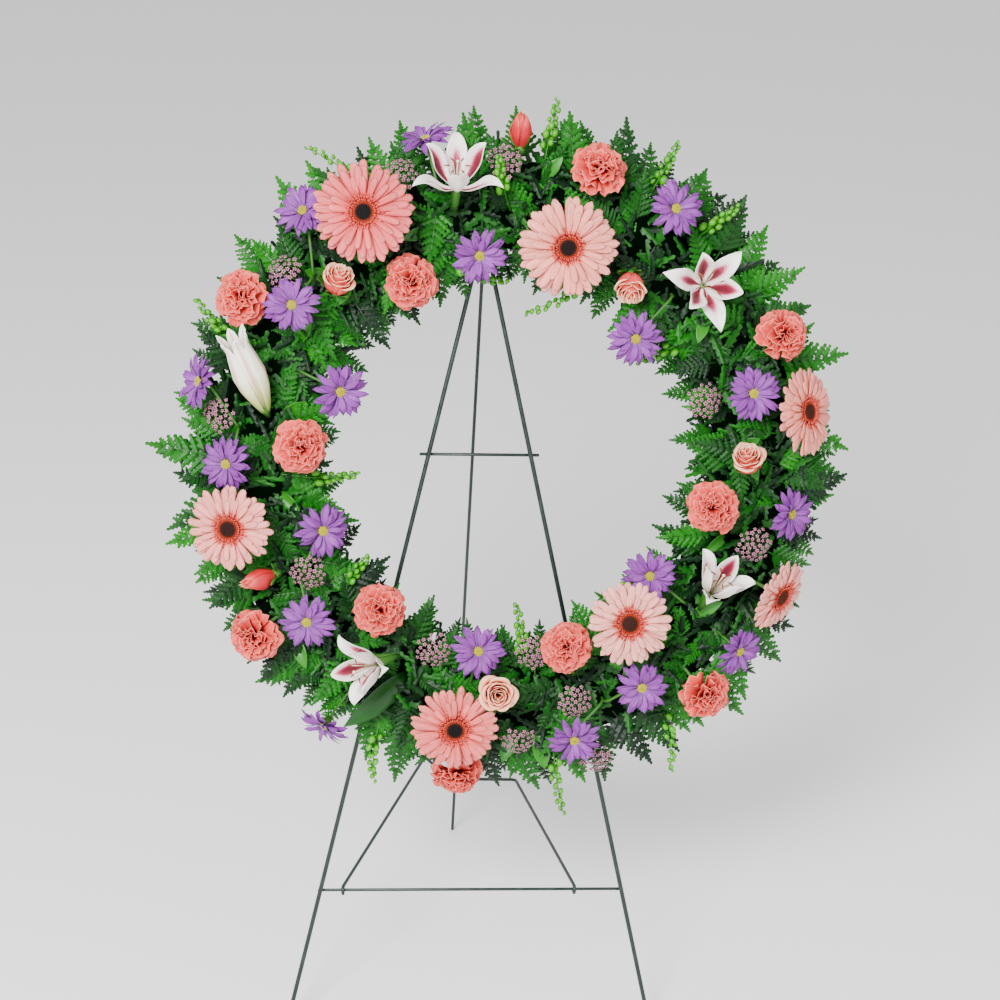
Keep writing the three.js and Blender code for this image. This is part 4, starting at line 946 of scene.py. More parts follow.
def tepal(reach, openness, width, lift, blush, dice):
    """A tepal that follows four points of its arch: at its foot, its shoulder, its bend and its tip.
    blush is how much of it the crimson takes."""
    closed = 1 - openness
    places = np.array(((3.0, -8.0), (0.42 * reach, 4 + lift + 12 * closed),
                       (0.78 * reach * (1 - 0.4 * closed), 14 + lift + 22 * closed),
                       (reach * (1 - 0.5 * closed), 10 + lift + 32 * closed))) * MM
    share = (0, 0.42, 0.8, 1)
    out_curve, up_curve = np.polyfit(share, places[:, 0], 3), np.polyfit(share, places[:, 1], 3)
    u = np.linspace(0, 1, 17)[:, None]
    v = np.linspace(-1, 1, 13)[None, :]
    half = width / 2 * tepal_outline(u)
    wave = dice.uniform(0, 6)
    crimp = 0.9 * MM * np.sin(9 * u + wave) * v ** 2 * np.sign(v) * np.sin(math.pi * u)
    cup = (0.30 + 0.35 * closed) * half * v ** 2 - 0.9 * MM * np.exp(-(v / 0.16) ** 2) * np.sin(math.pi * u) ** 0.5
    slope = np.arctan2(np.polyval(np.polyder(up_curve), u), np.polyval(np.polyder(out_curve), u))
    x = np.polyval(out_curve, u) - np.sin(slope) * (cup + crimp)
    z = np.polyval(up_curve, u) + np.cos(slope) * (cup + crimp)
    grid = np.stack(np.broadcast_arrays(x, half * v * (1 - 0.15 * closed), z), axis=-1)
    flare = np.clip((blush - u) * 1.9, 0, 1)
    flare = flare * np.clip(1.3 - np.abs(v) / (0.3 * blush + 0.34 * np.sin(math.pi * u ** 0.8)), 0, 1)
    maps = np.stack(np.broadcast_arrays(u, (v + 1) / 2, flare), axis=-1)
    return sheet(grid, maps, 0.5 * MM, 0, 1)


def lily_petal():
    """White, with crimson where the flare runs, broken up by the lines of the tepal."""
    material, nodes, link, shader = new_finish("lily_petal", 0.45)
    lines = add_group(nodes, petal_lines, Count=16.0, Contrast=1.2)
    spread = nodes.new("ShaderNodeMath")
    spread.operation = "MULTIPLY"
    link(lines.outputs["Tint"], spread.inputs[0])
    link(lines.outputs["Lines"], spread.inputs[1])
    tint = add_ramp(nodes, [
        (0.0, srgb(244, 240, 236)), (0.12, srgb(242, 222, 226)), (0.26, srgb(196, 70, 104)), (0.42, srgb(126, 10, 42)),
        (1.0, srgb(66, 2, 20))])
    link(spread.outputs[0], tint.inputs["Fac"])
    link(tint.outputs["Color"], shader.inputs["Base Color"])
    add_bump(nodes, link, lines.outputs["Lines"], shader, 0.0003)
    return material


lily_finish = lily_petal()
lily_back = petal_finish("lily_back", [
    (0.0, srgb(170, 186, 120)), (0.3, srgb(226, 222, 206)), (0.7, srgb(240, 228, 224)), (1.0, srgb(238, 236, 220))], 0.86, 12)
anther_brown = petal_finish("anther_brown", [(0, srgb(120, 58, 26)), (1, srgb(150, 84, 40))], 0.7, 12, 1.5, 0.9)
style_green = petal_finish("style_green", [(0, srgb(206, 216, 160)), (1, srgb(222, 214, 188))], 0.85, 6)
for number, (clock, radius, height, tilt, towards, turn_by, openness, reach) in enumerate(LILIES, 1):
    dice = random.Random(400 + number)
    axes = head_axes(clock, tilt, towards, math.radians(turn_by))
    centre = spot(clock, radius * MM, height * MM)
    span = reach * (0.55 + 0.45 * openness) * MM
    keep_clear(centre, axes, (span, 0, (24 + 30 * (1 - openness)) * MM), (reach * 0.5 * MM, -0.01, 0), (9 * MM, -0.042, -0.01))
    head = [spun([(2.2 * MM, -0.040), (4 * MM, -0.028), (5 * MM, -0.016), (4.6 * MM, -9 * MM), (3.2 * MM, -7 * MM)], 12, 2)]
    for i in range(6):
        outer = i % 2
        spread = openness if outer else openness - INNER_CLOSED
        part = tepal(reach * (1.04 if outer else 0.92), spread + dice.uniform(-0.06, 0.06), (23 if outer else 25) * MM,
                     -1.2 if outer else 0.6, 0.8 if outer else 1.02, dice)
        head.append(turned(part, (i + 0.5) * math.pi / 3 + dice.uniform(-0.06, 0.06)))
    for i in range(6):
        angle = i * math.pi / 3
        lean = 0.22 + 0.3 * openness
        tip = Vector((math.cos(angle) * lean * 26, math.sin(angle) * lean * 26, 22)) * MM
        path = [Vector((math.cos(angle), math.sin(angle), -7)) * MM, tip * 0.5 + Vector((0, 0, 0.002)), tip]
        head.append((*tube(rounded_path(path, 0.01, 4), 0.5 * MM, 6), 4))
        points, faces, maps = bead((0, 0, 0), (0.9 * MM, 0.9 * MM, 3.6 * MM), 6, 6)
        turn_round = np.array(((math.cos(angle), -math.sin(angle), 0), (math.sin(angle), math.cos(angle), 0), (0, 0, 1)))
        lying = points[:, [2, 1, 0]]
        head.append((lying @ turn_round.T + np.array(tip), faces, maps, 3))
    head.append((*tube([Vector((0, 0, -7 * MM)), Vector((0, 0, 0.012)), Vector((0, 0, 0.027))], 0.8 * MM, 6), 4))
    head.append((*bead((0, 0, 0.0275), (1.9 * MM, 1.9 * MM, 1.5 * MM), 6, 6), 4))
    parts = [stem(centre, axes, 0.040, 2.2 * MM, 2)] + at_head(head, axes, centre)
    make_piece(f"lily_{number}_bloom", on_wreath(parts), [lily_finish, lily_back, stem_green, anther_brown, style_green],
               easel_body, [f"lily_{number}"])

# Lily bud: the same lily just before it opens, a tall goblet of six tepals whose tips have begun
# to flare. Its outsides are cream, green at the foot, with a pinkish seam.
BUD = (288.5, 292, 92, 66, 338)
BUD_DEPTH = 0.054


def bud_skin():
    material, nodes, link, shader = new_finish("lily_bud_skin", 0.4)
    lines = add_group(nodes, petal_lines, Count=14.0, Contrast=1.2)
    middle = add_ramp(nodes, [(0.0, grey(0)), (0.36, grey(0.1)), (0.5, grey(1)), (0.64, grey(0.1)), (1.0, grey(0))])
    cream = add_ramp(nodes, [
        (0.0, srgb(120, 152, 64)), (0.2, srgb(196, 206, 128)), (0.5, srgb(236, 236, 206)), (1.0, srgb(248, 246, 238))])
    seam = add_ramp(nodes, [
        (0.0, srgb(104, 138, 58)), (0.3, srgb(190, 160, 110)), (0.6, srgb(212, 158, 148)), (1.0, srgb(214, 170, 168))])
    link(lines.outputs["Across"], middle.inputs["Fac"])
    link(lines.outputs["Along"], cream.inputs["Fac"])
    link(lines.outputs["Along"], seam.inputs["Fac"])
    link(mixed(nodes, link, middle.outputs["Color"], cream.outputs["Color"], seam.outputs["Color"]),
         shader.inputs["Base Color"])
    add_bump(nodes, link, lines.outputs["Lines"], shader, 0.0003)
    return material


def goblet_tepal(layer, dice):
    """A tepal of the bud: wrapped round the axis, and turned out at its tip."""
    u = np.linspace(0, 1, 19)[:, None]
    v = np.linspace(-1, 1, 11)[None, :]
    height = (-44 + 98 * u - (3 * (layer == 0))) * MM
    flare = dice.uniform(0.8, 1.25)
    reach = np.interp(u, (0, 0.12, 0.32, 0.5, 0.7, 0.85, 1), (5, 9.5, 15.5, 17.5, 15, 12.5, 10.5 + 6 * flare)) * MM
    reach = reach - layer * 1.3 * MM * (u < 0.9) + 1.1 * MM * np.exp(-(v / 0.2) ** 2) * np.sin(math.pi * u)
    wrap = np.radians(46) * np.interp(u, (0, 0.3, 0.6, 0.85, 0.95, 1), (1, 1, 0.92, 0.62, 0.34, 0.02)) * v
    grid = np.stack(np.broadcast_arrays(reach * np.cos(wrap), reach * np.sin(wrap), height), axis=-1)
    maps = np.stack(np.broadcast_arrays(u, (v + 1) / 2, u * 0 + v * 0 + dice.random()), axis=-1)
    return sheet(grid, maps, 0.6 * MM, 0)


dice = random.Random(450)
axes = head_axes(BUD[0], BUD[3], BUD[4], 0.4)
centre = spot(BUD[0], BUD[1] * MM, BUD[2] * MM)
keep_clear(centre, axes, (0.02, -0.034, 0.052), (8 * MM, -0.056, -0.034))
head = [spun([(2.4 * MM, -0.054), (4 * MM, -0.049), (6 * MM, -0.044), (4 * MM, -0.040)], 12, 1)]
for i in range(6):
    head.append(turned(goblet_tepal(i % 2, dice), i * math.pi / 3))
bud_parts = [stem(centre, axes, BUD_DEPTH, 2.4 * MM, 1, centre - axes[:, 2] * BUD_DEPTH)] + at_head(head, axes, centre)
make_piece("lily_bud_goblet", on_wreath(bud_parts), [bud_skin(), stem_green], easel_body, ["lily_bud"])

# Roses: a spiral of petals that overlap and roll back at their edges, over green sepals. Two are
# still pointed buds.
ROSES = [
    # name, clock, radius, height, tilt, leaning towards, how open
    ("rose_1", 316, 268, 104, 48, 20, 0.35),
    ("rosebud_2", 0.3, 348, 78, 64, 0.3, 0.0),
    ("rose_3", 31.6, 225, 102, 42, 190, 0.2),
    ("rose_4", 87.5, 248, 104, 46, 350, 0.5),
    ("rosebud_5", 245, 294, 90, 58, 258, 0.0),
    ("rose_6", 183.3, 240, 129, 8, 0, 0.9),
]


def rose_petal(reach, height, wrap, roll_back, closed, dice):
    """A petal wrapped round the axis: it swells out from its foot, and rolls back at the lip or, in
    a bud, closes over it."""
    u = np.linspace(0, 1, 9)[:, None]
    v = np.linspace(-1, 1, 9)[None, :]
    lip = np.clip((u - 0.68) / 0.32, 0, 1) ** 2
    out = reach * np.interp(u, (0, 0.2, 0.5, 0.8, 1), (0.3, 0.72, 1.0, 0.97 - 0.16 * closed, 0.9 - 0.5 * closed))
    out = out + roll_back * lip * (1 - 0.35 * v ** 2)
    up = height * (u - 0.10 * v ** 2 * u ** 2 + 0.06 * np.exp(-(v / 0.25) ** 2) * u ** 4) - roll_back * 0.55 * lip ** 2
    out = out + 0.5 * MM * np.sin(4 * v + dice.uniform(0, 6)) * u ** 3
    across = wrap * v * np.interp(u, (0, 0.25, 0.6, 0.9, 1), (0.55, 0.9, 1.0, 0.86, 0.6))
    grid = np.stack(np.broadcast_arrays(out * np.cos(across), out * np.sin(across), up), axis=-1)
    maps = np.stack(np.broadcast_arrays(u, (v + 1) / 2, u * 0 + v * 0 + dice.random()), axis=-1)
    return sheet(grid, maps, 0.45 * MM, 0, 1)


rose_finish = petal_finish("rose_petal", [
    (0.0, srgb(196, 48, 28)), (0.5, srgb(232, 104, 74)), (0.85, srgb(246, 142, 106)), (1.0, srgb(252, 202, 166))], 0.8, 8,
    1.3, 0.5)
rose_outside = petal_finish("rose_outside", [
    (0.0, srgb(170, 140, 50)), (0.2, srgb(214, 70, 62)), (0.8, srgb(224, 72, 70)), (0.95, srgb(236, 112, 94)),
    (1.0, srgb(250, 186, 152))], 0.66, 8, 1.3, 0.5)
bud_outside = petal_finish("rosebud_outside", [
    (0.0, srgb(140, 116, 34)), (0.2, srgb(184, 34, 36)), (0.7, srgb(190, 22, 38)), (1.0, srgb(222, 78, 70))], 0.66, 8,
    1.3, 0.5)
for number, (name, clock, radius, height, tilt, towards, openness) in enumerate(ROSES, 1):
    dice = random.Random(500 + number)
    axes = head_axes(clock, tilt, towards, dice.uniform(0, 6))
    centre = spot(clock, radius * MM, height * MM)
    bud = "bud" in name
    slim, tall = (0.9, 1.15) if bud else (1, 1)
    keep_clear(centre, axes, (0.022 * slim, -0.014 * tall, 0.016 * tall), (7 * MM, -0.026, -0.012))
    head = [spun([(2 * MM, -0.024 * tall), (4 * MM, -0.021 * tall), (6.2 * MM * slim, -0.017 * tall), (5 * MM, -0.013 * tall)],
                 12, 2)]
    count = 11 if bud else 21
    for i in range(count):
        share = (i + 0.5) / count
        reach = (2.0 + (12.4 + 2.6 * openness) * share ** 0.9) * MM * slim
        long = (36 - (4 if bud else 9 + 7 * openness) * share ** 1.3) * MM * tall
        roll_back = (0.6 + (5.0 + 4 * openness) * share ** 2) * MM * slim
        part = rose_petal(reach, long, 1.5 - 0.5 * share, roll_back * (1 - 0.8 * bud), bud, dice)
        head.append(turned(part, i * GOLDEN_ANGLE + dice.uniform(-0.1, 0.1), 0, -0.0165 * tall, 0))
    for i in range(5):
        part = petal(20 * MM, 6.4 * MM, daisy_outline, lambda u: -0.1 * u + 0.25 * u ** 2, 6, 2, 0.6, 0, 0.1, 0, 0.5)
        laid = turned(part, 2 * math.pi * i / 5, 5.2 * MM * slim, -0.0165 * tall, math.radians(dice.uniform(18, 62)))
        head.append((*laid[:3], [2] * len(laid[1])))
    parts = [stem(centre, axes, 0.024 * tall, 2 * MM, 2)] + at_head(head, axes, centre)
    make_piece(f"{name}_bloom", on_wreath(parts), [rose_finish, bud_outside if bud else rose_outside, stem_green],
               easel_body, [name])

# Bed of foliage: a rough near-black shell over the front and flanks of the foam, so that none of it
# shows. It is painted shade for the depths between the leaves. One piece for each sector between blooms, where the bed
# is split.
SECTOR_EDGES = (15, 88, 136, 188, 253, 319, 375)
BED_SECTION = [(316, 14), (316, 40), (315, 53), (306, 62), (290, 63), (250, 63), (235, 62), (226, 53), (225, 40),
               (225, 14), (231, 14), (231, 54), (309, 54), (309, 14)]
foliage_parts = {number: [] for number in range(1, 7)}


def leaf_finish(name, dark, light, roughness=0.42, shine=0.22):
    """Leaf green that runs from dark to light from leaf to leaf, with a fine grain, and painted shade that darkens each
    leaf towards its foot.
    """
    material, nodes, link, shader = new_finish(name, roughness)
    lines = add_group(nodes, petal_lines, Count=11.0, Contrast=1.4)
    by_leaf = add_ramp(nodes, [(0.0, dark), (0.5, scaled_colour(dark, 0.5, light)), (1.0, light)])
    # Painted shade: each leaf is darkened towards its foot, where it tucks under the others.
    shade = add_ramp(nodes, [(0.0, grey(0.45)), (0.25, grey(0.85)), (0.8, grey(1.0)), (1.0, grey(1.0))])
    link(lines.outputs["Tint"], by_leaf.inputs["Fac"])
    link(lines.outputs["Along"], shade.inputs["Fac"])
    shaded = nodes.new("ShaderNodeMix")
    shaded.data_type, shaded.blend_type = "RGBA", "MULTIPLY"
    shaded.inputs[0].default_value = 1
    link(by_leaf.outputs["Color"], shaded.inputs[6])
    link(shade.outputs["Color"], shaded.inputs[7])
    link(shaded.outputs[2], shader.inputs["Base Color"])
    add_bump(nodes, link, lines.outputs["Lines"], shader, 0.0003)
    shader.inputs["Specular IOR Level"].default_value = shine
    return material


def sector_of(clock):
    """The number of the sector that a clock angle lies in."""
    turned_on = (clock - SECTOR_EDGES[0]) % 360 + SECTOR_EDGES[0]
    return next(n for n in range(1, 7) if turned_on < SECTOR_EDGES[n])


for number in range(1, 7):
    start, end = SECTOR_EDGES[number - 1] + 0.15, SECTOR_EDGES[number] - 0.15
    section = [(r * MM, h * MM) for r, h in BED_SECTION]
    points, faces, maps = turned_ring(section, int((end - start) / 2), start, end - start, 2.2 * MM, 600 + number)
    foliage_parts[number].append((points, faces, maps * 0.1, 1))

# Leatherleaf fern: stiff glossy fronds, each a rib with a few pairs of lobed leaflets that get
# shorter towards the tip. They are cut short and pushed in all round, over the blooms' stems.
FERN_LEAFLETS = 7
FERN_LOBES = 4
FERN_THICK = 0.7 * MM
# Kinds: how far apart round the ring, root radius and height, wander and turn in degrees, rise,
# length, half width, size, droop, and whether they head inwards.
FERN_KINDS = (
    (4.6, (294, 304), (56, 62), 3, 30, (0.10, 0.42), 78, 30, (0.66, 1.08), 0.30, False),
    (5.6, (308, 314), (24, 46), 3, 26, (-0.22, 0.16), 60, 26, (0.72, 1.10), 0.30, False),
    (6.4, (238, 248), (56, 62), 3, 30, (0.08, 0.44), 64, 24, (0.66, 1.08), 0.30, True),
    (9.0, (226, 229), (26, 46), 3, 24, (-0.16, 0.14), 48, 20, (0.75, 1.10), 0.30, True),
    (3.6, (246, 292), (54, 60), 8, 180, (0.34, 0.72), 66, 24, (0.75, 1.08), 0.36, False),
    (2.2, (236, 304), (57, 63), 3, 180, (0.12, 0.40), 46, 18, (0.75, 1.15), 0.26, False),
)


def leaflet(length, width, lobes, tint, droop):
    """A lobed leaflet of a fern along x, creased along its middle: its edge runs out to each lobe
    and back to the notch. It is a closed sliver with three points to a row."""
    rows = 2 * lobes + 1
    u = np.linspace(0, 1, rows)[:, None]
    at_lobe = (np.arange(rows) % 2)[:, None]
    half = width / 2 * np.where(at_lobe, 1.0, 0.55) * np.clip(1.12 - u, 0.04, 1) ** 0.7
    half[0], half[-1] = width * 0.08, width * 0.02
    v = np.array((-1.0, 0.0, 1.0))
    x = length * u + at_lobe * 0.55 * length / rows * np.abs(v)
    y = half * v
    z = -droop * length * u ** 2 - 0.3 * np.abs(y) + np.where(v == 0, FERN_THICK, 0)
    points = np.stack(np.broadcast_arrays(x, y, z), axis=-1).reshape(-1, 3)
    maps = np.stack(np.broadcast_arrays(u, (v + 1) / 2, np.full_like(x, tint)), axis=-1).reshape(-1, 3)
    faces = [(3 * i + k, 3 * i + 3 + k, 3 * i + 3 + (k + 1) % 3, 3 * i + (k + 1) % 3) for i in range(rows - 1) for k in range(3)]
    return points, faces + [(0, 1, 2), (3 * rows - 1, 3 * rows - 2, 3 * rows - 3)], maps


def frond(length, half_width, rise, droop, dice):
    """A frond along x with its face up: the rib, the leaflets to each side and the one at its tip."""
    tint = dice.random()

    def on_rib(t):
        return np.array((length * t, 0, length * (rise * t - droop * t * t)))

    parts = [tube([Vector(on_rib(t)) for t in (0, 0.25, 0.5, 0.75, 0.95)],
                  np.array((1.0, 0.85, 0.7, 0.5, 0.3)) * MM, 4)]
    parts[0] = (parts[0][0], parts[0][1], parts[0][2] * np.array((1, 1, 0)) + np.array((0.3, 0, tint)), 0)
    for k in range(FERN_LEAFLETS):
        t = 0.14 + 0.72 * (k + 0.5) / FERN_LEAFLETS
        slope = math.atan2(rise - 2 * droop * t, 1)
        for side in (-1, 1):
            long = half_width * (1.12 - 0.92 * t) * dice.uniform(0.9, 1.06)
            angle = side * math.radians(62 - 18 * t + dice.uniform(-5, 5))
            part = leaflet(long, length * 0.165 * (1.15 - 0.35 * t), FERN_LOBES, min(1, max(0, tint + dice.uniform(-0.1, 0.1))),
                           dice.uniform(0.05, 0.22))
            part = turned(part, angle, 0, 0, 0, dice.uniform(-0.25, 0.25))
            x, y, z = part[0].T
            tipped = np.array((x * math.cos(slope) - z * math.sin(slope), y, x * math.sin(slope) + z * math.cos(slope))).T
            parts.append((tipped + on_rib(t), *part[1:]))
    slope = math.atan2(rise - 2 * droop * 0.9, 1)
    tip = turned(leaflet(length * 0.24, length * 0.13, FERN_LOBES, tint, 0.1), 0, 0, 0, slope)
    parts.append((tip[0] + on_rib(0.84), *tip[1:]))
    return parts


def hits_a_head(points):
    for centre, axis, radius, low, high in heads:
        apart = points - centre
        along = apart @ axis
        off = np.linalg.norm(apart - along[:, None] * axis, axis=1)
        if np.any((off < radius) & (along > low) & (along < high)):
            return True
    return False


def aimed(parts, root, heading, roll):
    """Parts that lie along x with their face up, turned to a heading round the ring and rolled."""
    forward = outward(heading)
    left = np.cross((0, 0, 1), forward)
    up = np.array((0, 0, 1.0))
    rolled_left = left * math.cos(roll) + up * math.sin(roll)
    rolled_up = up * math.cos(roll) - left * math.sin(roll)
    frame_axes = np.array((forward, rolled_left, rolled_up)).T
    return [(part[0] @ frame_axes.T + root, *part[1:]) for part in parts]


dice = random.Random(700)
for apart, roots, heights, wander, turn_by, rises, length, half_width, sizes, droop, inwards in FERN_KINDS:
    count = round(360 / apart)
    for i in range(count):
        for attempt in range(14):
            clock = 360 * i / count + dice.uniform(-wander, wander)
            size = dice.uniform(*sizes) * (1 - attempt / 26)
            rise = dice.uniform(*rises)
            root = spot(clock, dice.uniform(*roots) * MM, dice.uniform(*heights) * MM)
            heading = clock + (180 if inwards else 0) + dice.uniform(-turn_by, turn_by)
            parts = aimed(frond(length * size * MM, half_width * size * MM, rise, droop, dice), root, heading,
                          dice.uniform(-0.35, 0.35))
            samples = np.concatenate([part[0][::5] for part in parts])
            if not hits_a_head(samples):
                foliage_parts[sector_of(clock)] += parts
                break


# Loose leaflets packed between the fronds, low on the bed. Their tints lean to the dark end, painted shade down among
# the fronds.
PACKED_LEAFLETS = 1650
for i in range(PACKED_LEAFLETS):
    clock = 360 * i / PACKED_LEAFLETS
    on_flank = i % 3 == 0
    inner_side = i % 6 == 0
    if on_flank:
        root = spot(clock, (dice.uniform(222, 228) if inner_side else dice.uniform(312, 317)) * MM, dice.uniform(16, 56) * MM)
        heading = clock + (180 if inner_side else 0) + dice.uniform(-70, 70)
        rise = dice.uniform(-0.9, 0.6)
    else:
        root = spot(clock, dice.uniform(228, 312) * MM, 61.5 * MM)
        heading = dice.uniform(0, 360)
        rise = dice.uniform(0.12, 0.8)
    # The squared tint leans these low leaflets dark: painted shade.
    part = leaflet(dice.uniform(22, 36) * MM, dice.uniform(10, 14) * MM, FERN_LOBES, dice.random() ** 2 * 0.7, 0.15)
    leaf = aimed([turned(part, 0, 0, 0, math.atan(rise))], root, heading, dice.uniform(-0.6, 0.6))
    if not hits_a_head(leaf[0][0]):
        foliage_parts[sector_of(clock)] += leaf

fern_finish = leaf_finish("leaf", srgb(0, 28, 6), srgb(22, 110, 8))
# The bed's near-black, dull green is painted shade for the depths between the leaves.
painted_shade_bed_finish = leaf_finish("painted_shade_bed", srgb(0, 12, 2), srgb(1, 22, 3), 0.95, 0.02)
for number, parts in foliage_parts.items():
    make_piece(f"foliage_{number}_fern", on_wreath(parts), [fern_finish, painted_shade_bed_finish], easel_body,
               [f"foliage_{number}"], smooth=False)

# Plain leaves: the long blade of a lily's own leaf, and the small ovals that roses and the other
# stems carry. Each is a thin blade, folded a little along its middle.
PLAIN_LEAVES = [
    # clock, root radius, heading, rise, length, width, tint
    (205, 256, 232, 0.3, 92, 28, 0.1), (318, 262, 200, 0.35, 34, 17, 0.8), (315, 276, 285, 0.4, 30, 15, 0.6),
    (88, 252, 150, 0.4, 32, 15, 0.8), (86, 246, 60, 0.45, 28, 13, 0.5), (33, 226, 20, 0.4, 26, 12, 0.7),
    (184, 246, 150, 0.45, 36, 17, 0.7), (183, 250, 220, 0.4, 34, 16, 0.5), (173, 300, 170, 0.15, 44, 20, 0.7),
    (178, 296, 200, 0.2, 40, 18, 0.45), (298, 262, 40, 0.4, 34, 15, 0.8), (262, 250, 130, 0.4, 32, 14, 0.7),
    (54, 290, 350, 0.4, 38, 15, 0.6), (52, 262, 200, 0.4, 36, 14, 0.8), (108, 250, 240, 0.35, 36, 15, 0.6),
    (130, 262, 60, 0.4, 40, 15, 0.7), (5, 300, 40, 0.4, 34, 14, 0.8), (340, 262, 250, 0.35, 36, 14, 0.5),
    (281, 250, 60, 0.4, 34, 14, 0.75), (154, 262, 20, 0.4, 34, 15, 0.6), (230, 300, 160, 0.35, 38, 15, 0.7),
]


def leaf_outline(u):
    return np.interp(u, (0, 0.06, 0.2, 0.42, 0.65, 0.85, 0.95, 1), (0.08, 0.34, 0.76, 1.0, 0.9, 0.5, 0.2, 0.02))


plain_parts = {number: [] for number in foliage_parts}
dice = random.Random(740)
for clock, radius, heading, rise, length, width, tint in PLAIN_LEAVES:
    bend = dice.uniform(0.1, 0.3)
    part = petal(length * MM, width * MM, leaf_outline, lambda u: 0.25 * u - bend * u ** 2, 8, 6, 0.3, 0, 0, 0, tint,
                 0.4 * MM)
    plain_parts[sector_of(clock)] += aimed(
        [turned(part, 0, 0, 0, math.atan(rise), dice.uniform(-0.3, 0.3))], spot(clock, radius * MM, 0.060), heading, 0)
plain_finish = leaf_finish("plain_leaf", srgb(2, 52, 6), srgb(40, 128, 12), 0.34, 0.35)
for number, parts in plain_parts.items():
    if parts:
        make_piece(f"plain_leaves_{number}", on_wreath(parts), [plain_finish], easel_body, [f"foliage_{number}"])

# Lime bud sprays: thin arching stalks set with round unopened buds on short stalks of their own,
# smaller towards the tip. They stand out past the fern and into the open middle.
BUD_SPRAYS = [
    # clock, heading, rise, length, root radius
    (331, 333, 0.1, 92, 300), (359, 352, 0.75, 62, 262), (5, 14, 0.05, 84, 300), (26, 20, 0.15, 78, 300),
    (38, 50, 0.35, 70, 290), (338, 130, 0.05, 84, 242), (22, 208, 0.05, 96, 242), (294, 292, 0.1, 72, 300),
    (266, 92, 0.1, 78, 242), (230, 30, 0.1, 62, 242), (175, 356, 0.05, 84, 242), (121, 290, 0.1, 78, 242),
    (170, 178, 0.05, 92, 300), (149, 140, 0.1, 84, 300), (206, 204, 0.05, 84, 300), (55, 236, 0.1, 78, 242),
]
SPRAY_BUDS = 17


def bud_spray(length, rise, dice):
    """A spray along x: its stalk, and its buds in turn round the outer two thirds of it."""
    bend, sideways = dice.uniform(0.1, 0.35), dice.uniform(-0.4, 0.4)

    def on_stalk(t):
        return Vector((length * t * (1 - 0.1 * t), length * sideways * t ** 2, length * (rise * t - bend * t ** 2)))

    places = [on_stalk(k / 9) for k in range(10)]
    parts = [(*tube(places, np.linspace(1.0, 0.45, 10) * MM, 6), 0)]
    for i in range(SPRAY_BUDS):
        t = 0.34 + 0.66 * (i / (SPRAY_BUDS - 1)) ** 0.9
        size = (4.9 - 2.7 * t) * dice.uniform(0.75, 1.15) * MM
        angle = i * GOLDEN_ANGLE
        off = Vector((0.9, math.cos(angle), math.sin(angle))) * (7.2 - 4.6 * t) * MM
        parts.append((*tube([on_stalk(t), on_stalk(t) + off], 0.4 * MM, 4), 0))
        points, faces, maps = bead((0, 0, 0), (size * 1.35, size, size), 5, 7)
        maps[:, 2] = dice.random()
        parts.append((points + np.array(on_stalk(t) + off), faces, maps, 0))
    return parts


# The buds run from dark green on their underside to light on top: painted shade and painted light. The stalks take the
# middle of the ramp.
lime_with_painted_shading = petal_finish("lime_bud_painted_shading", [
    (0.0, srgb(8, 78, 0)), (0.6, srgb(34, 130, 0)), (1.0, srgb(84, 170, 4))], 0.55, 6, 1.3, 0.4)
spray_parts = {number: [] for number in foliage_parts}
for number, (clock, heading, rise, length, root) in enumerate(BUD_SPRAYS):
    dice = random.Random(800 + number)
    spray = bud_spray(length * MM * 1.08, rise + 0.25, dice)
    spray_parts[sector_of(clock)] += aimed(spray, spot(clock, root * MM, 0.058), heading, dice.uniform(-0.5, 0.5))
for number, parts in spray_parts.items():
    if parts:
        make_piece(f"lime_sprays_{number}", on_wreath(parts), [lime_with_painted_shading], easel_body, [f"foliage_{number}"])

# Filler florets: flat heads of tiny pinkish flowers with dark eyes, on forked stalks that meet
# low down among the fern.
FILLERS = [
    # clock, radius, height
    (357.3, 320, 90), (337.7, 326, 84), (309.5, 314, 84), (278.7, 316, 72), (70.6, 214, 92), (107.8, 276, 88),
    (241.4, 246, 88), (201.8, 218, 88), (172.5, 206, 88), (164.4, 268, 92), (177.6, 305, 84), (163, 346, 66),
]
FILLER_REACH = 19
FLORETS = 40


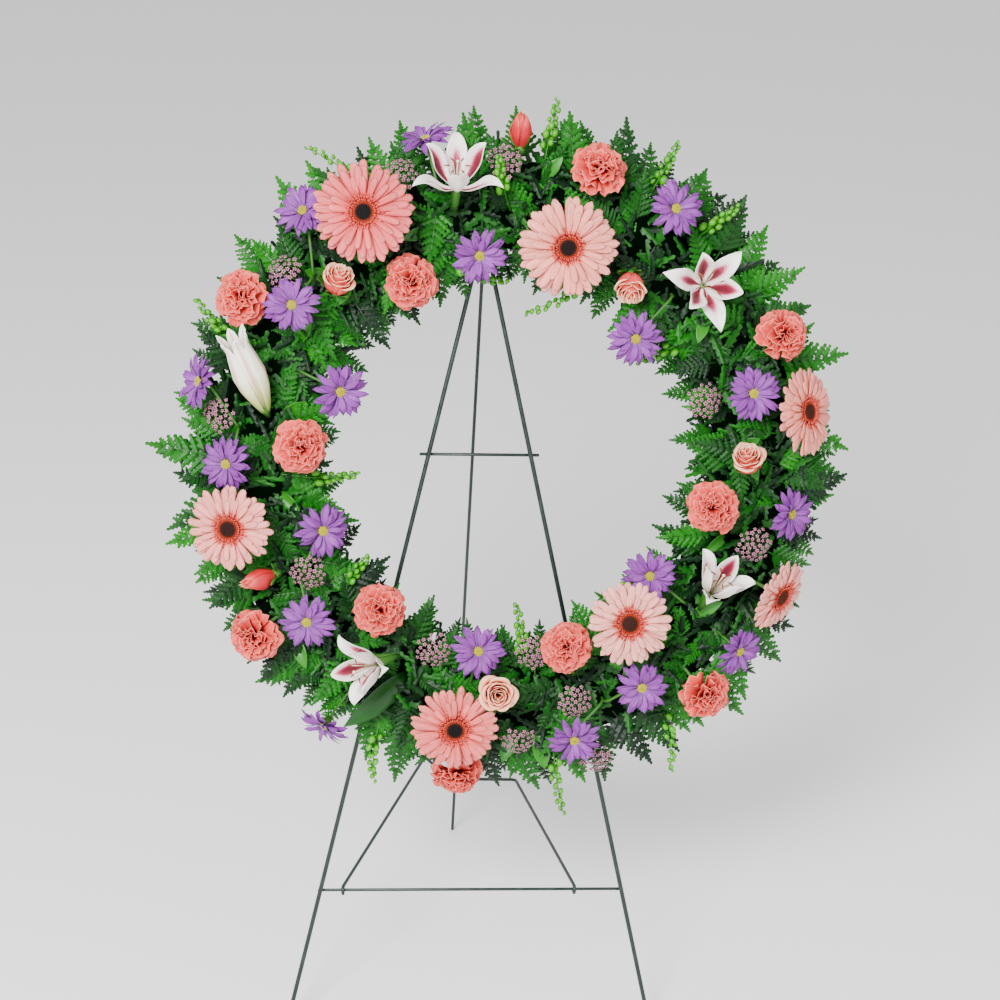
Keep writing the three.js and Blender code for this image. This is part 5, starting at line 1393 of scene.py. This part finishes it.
def floret(size, dice):
    """Five blunt petals in one sheet, and the eye."""
    ring = np.arange(10)
    reach = np.where(ring % 2, 0.5, 1.0) * size
    outer = np.stack([reach * np.cos(ring * math.pi / 5), reach * np.sin(ring * math.pi / 5), 0.25 * reach], axis=-1)
    grid = np.stack([np.vstack([outer, outer[:1]]) * 0.12, np.vstack([outer, outer[:1]])])
    maps = np.zeros((2, 11, 3))
    maps[1, :, 0] = 1
    maps[..., 2] = dice.random()
    points, faces, part_maps = bead((0, 0, 0.3 * MM), (0.9 * MM, 0.9 * MM, 0.8 * MM), 3, 5)
    return [sheet(grid, maps, 0.3 * MM, 0), (points, faces, part_maps, 1)]


filler_finish = petal_finish("filler_floret", [
    (0.0, srgb(80, 16, 50)), (0.5, srgb(150, 76, 112)), (1.0, srgb(206, 146, 166))], 0.7, 5, 1.2, 0.6)
eye_finish = petal_finish("filler_eye", [(0.0, srgb(52, 8, 34)), (1.0, srgb(84, 24, 50))], 0.8, 5, 1.2, 0.6)
filler_parts = {number: [] for number in foliage_parts}
for number, (clock, radius, height) in enumerate(FILLERS):
    dice = random.Random(900 + number)
    axes = head_axes(clock, 30 if radius > 294 else 8, clock, dice.uniform(0, 6))
    centre = spot(clock, radius * MM, height * MM)
    root = np.linalg.inv(axes) @ (spot(clock, np.clip(radius * MM, STEM_NEAR, STEM_FAR), 0.058) - centre)
    fork = root * 0.45
    cluster = [(*tube([Vector(root), Vector(fork)], 1.0 * MM, 6), 2)]
    for i in range(FLORETS):
        share = math.sqrt((i + 0.5) / FLORETS)
        angle = i * GOLDEN_ANGLE
        place = np.array((FILLER_REACH * MM * share * math.cos(angle), FILLER_REACH * MM * share * math.sin(angle),
                          (4 - 7 * share ** 2 + dice.uniform(-2.2, 2.2)) * MM))
        if i % 3 == 0:
            cluster.append((*tube([Vector(fork), Vector(place * 0.6 + np.array((0, 0, -4 * MM))), Vector(place)], 0.4 * MM, 4), 2))
        tip = head_axes(math.degrees(angle), 34 * share + dice.uniform(-12, 12), 90 - math.degrees(angle), dice.uniform(0, 6))
        cluster += at_head(floret(dice.uniform(2.2, 3.1) * MM, dice), tip, place)
    filler_parts[sector_of(clock)] += at_head(cluster, axes, centre)
for number, parts in filler_parts.items():
    if parts:
        make_piece(f"filler_florets_{number}", on_wreath(parts), [filler_finish, eye_finish, stem_green], easel_body,
                   [f"foliage_{number}"])

# The bounds of all shown objects together, leaving out the floor.
low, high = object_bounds()
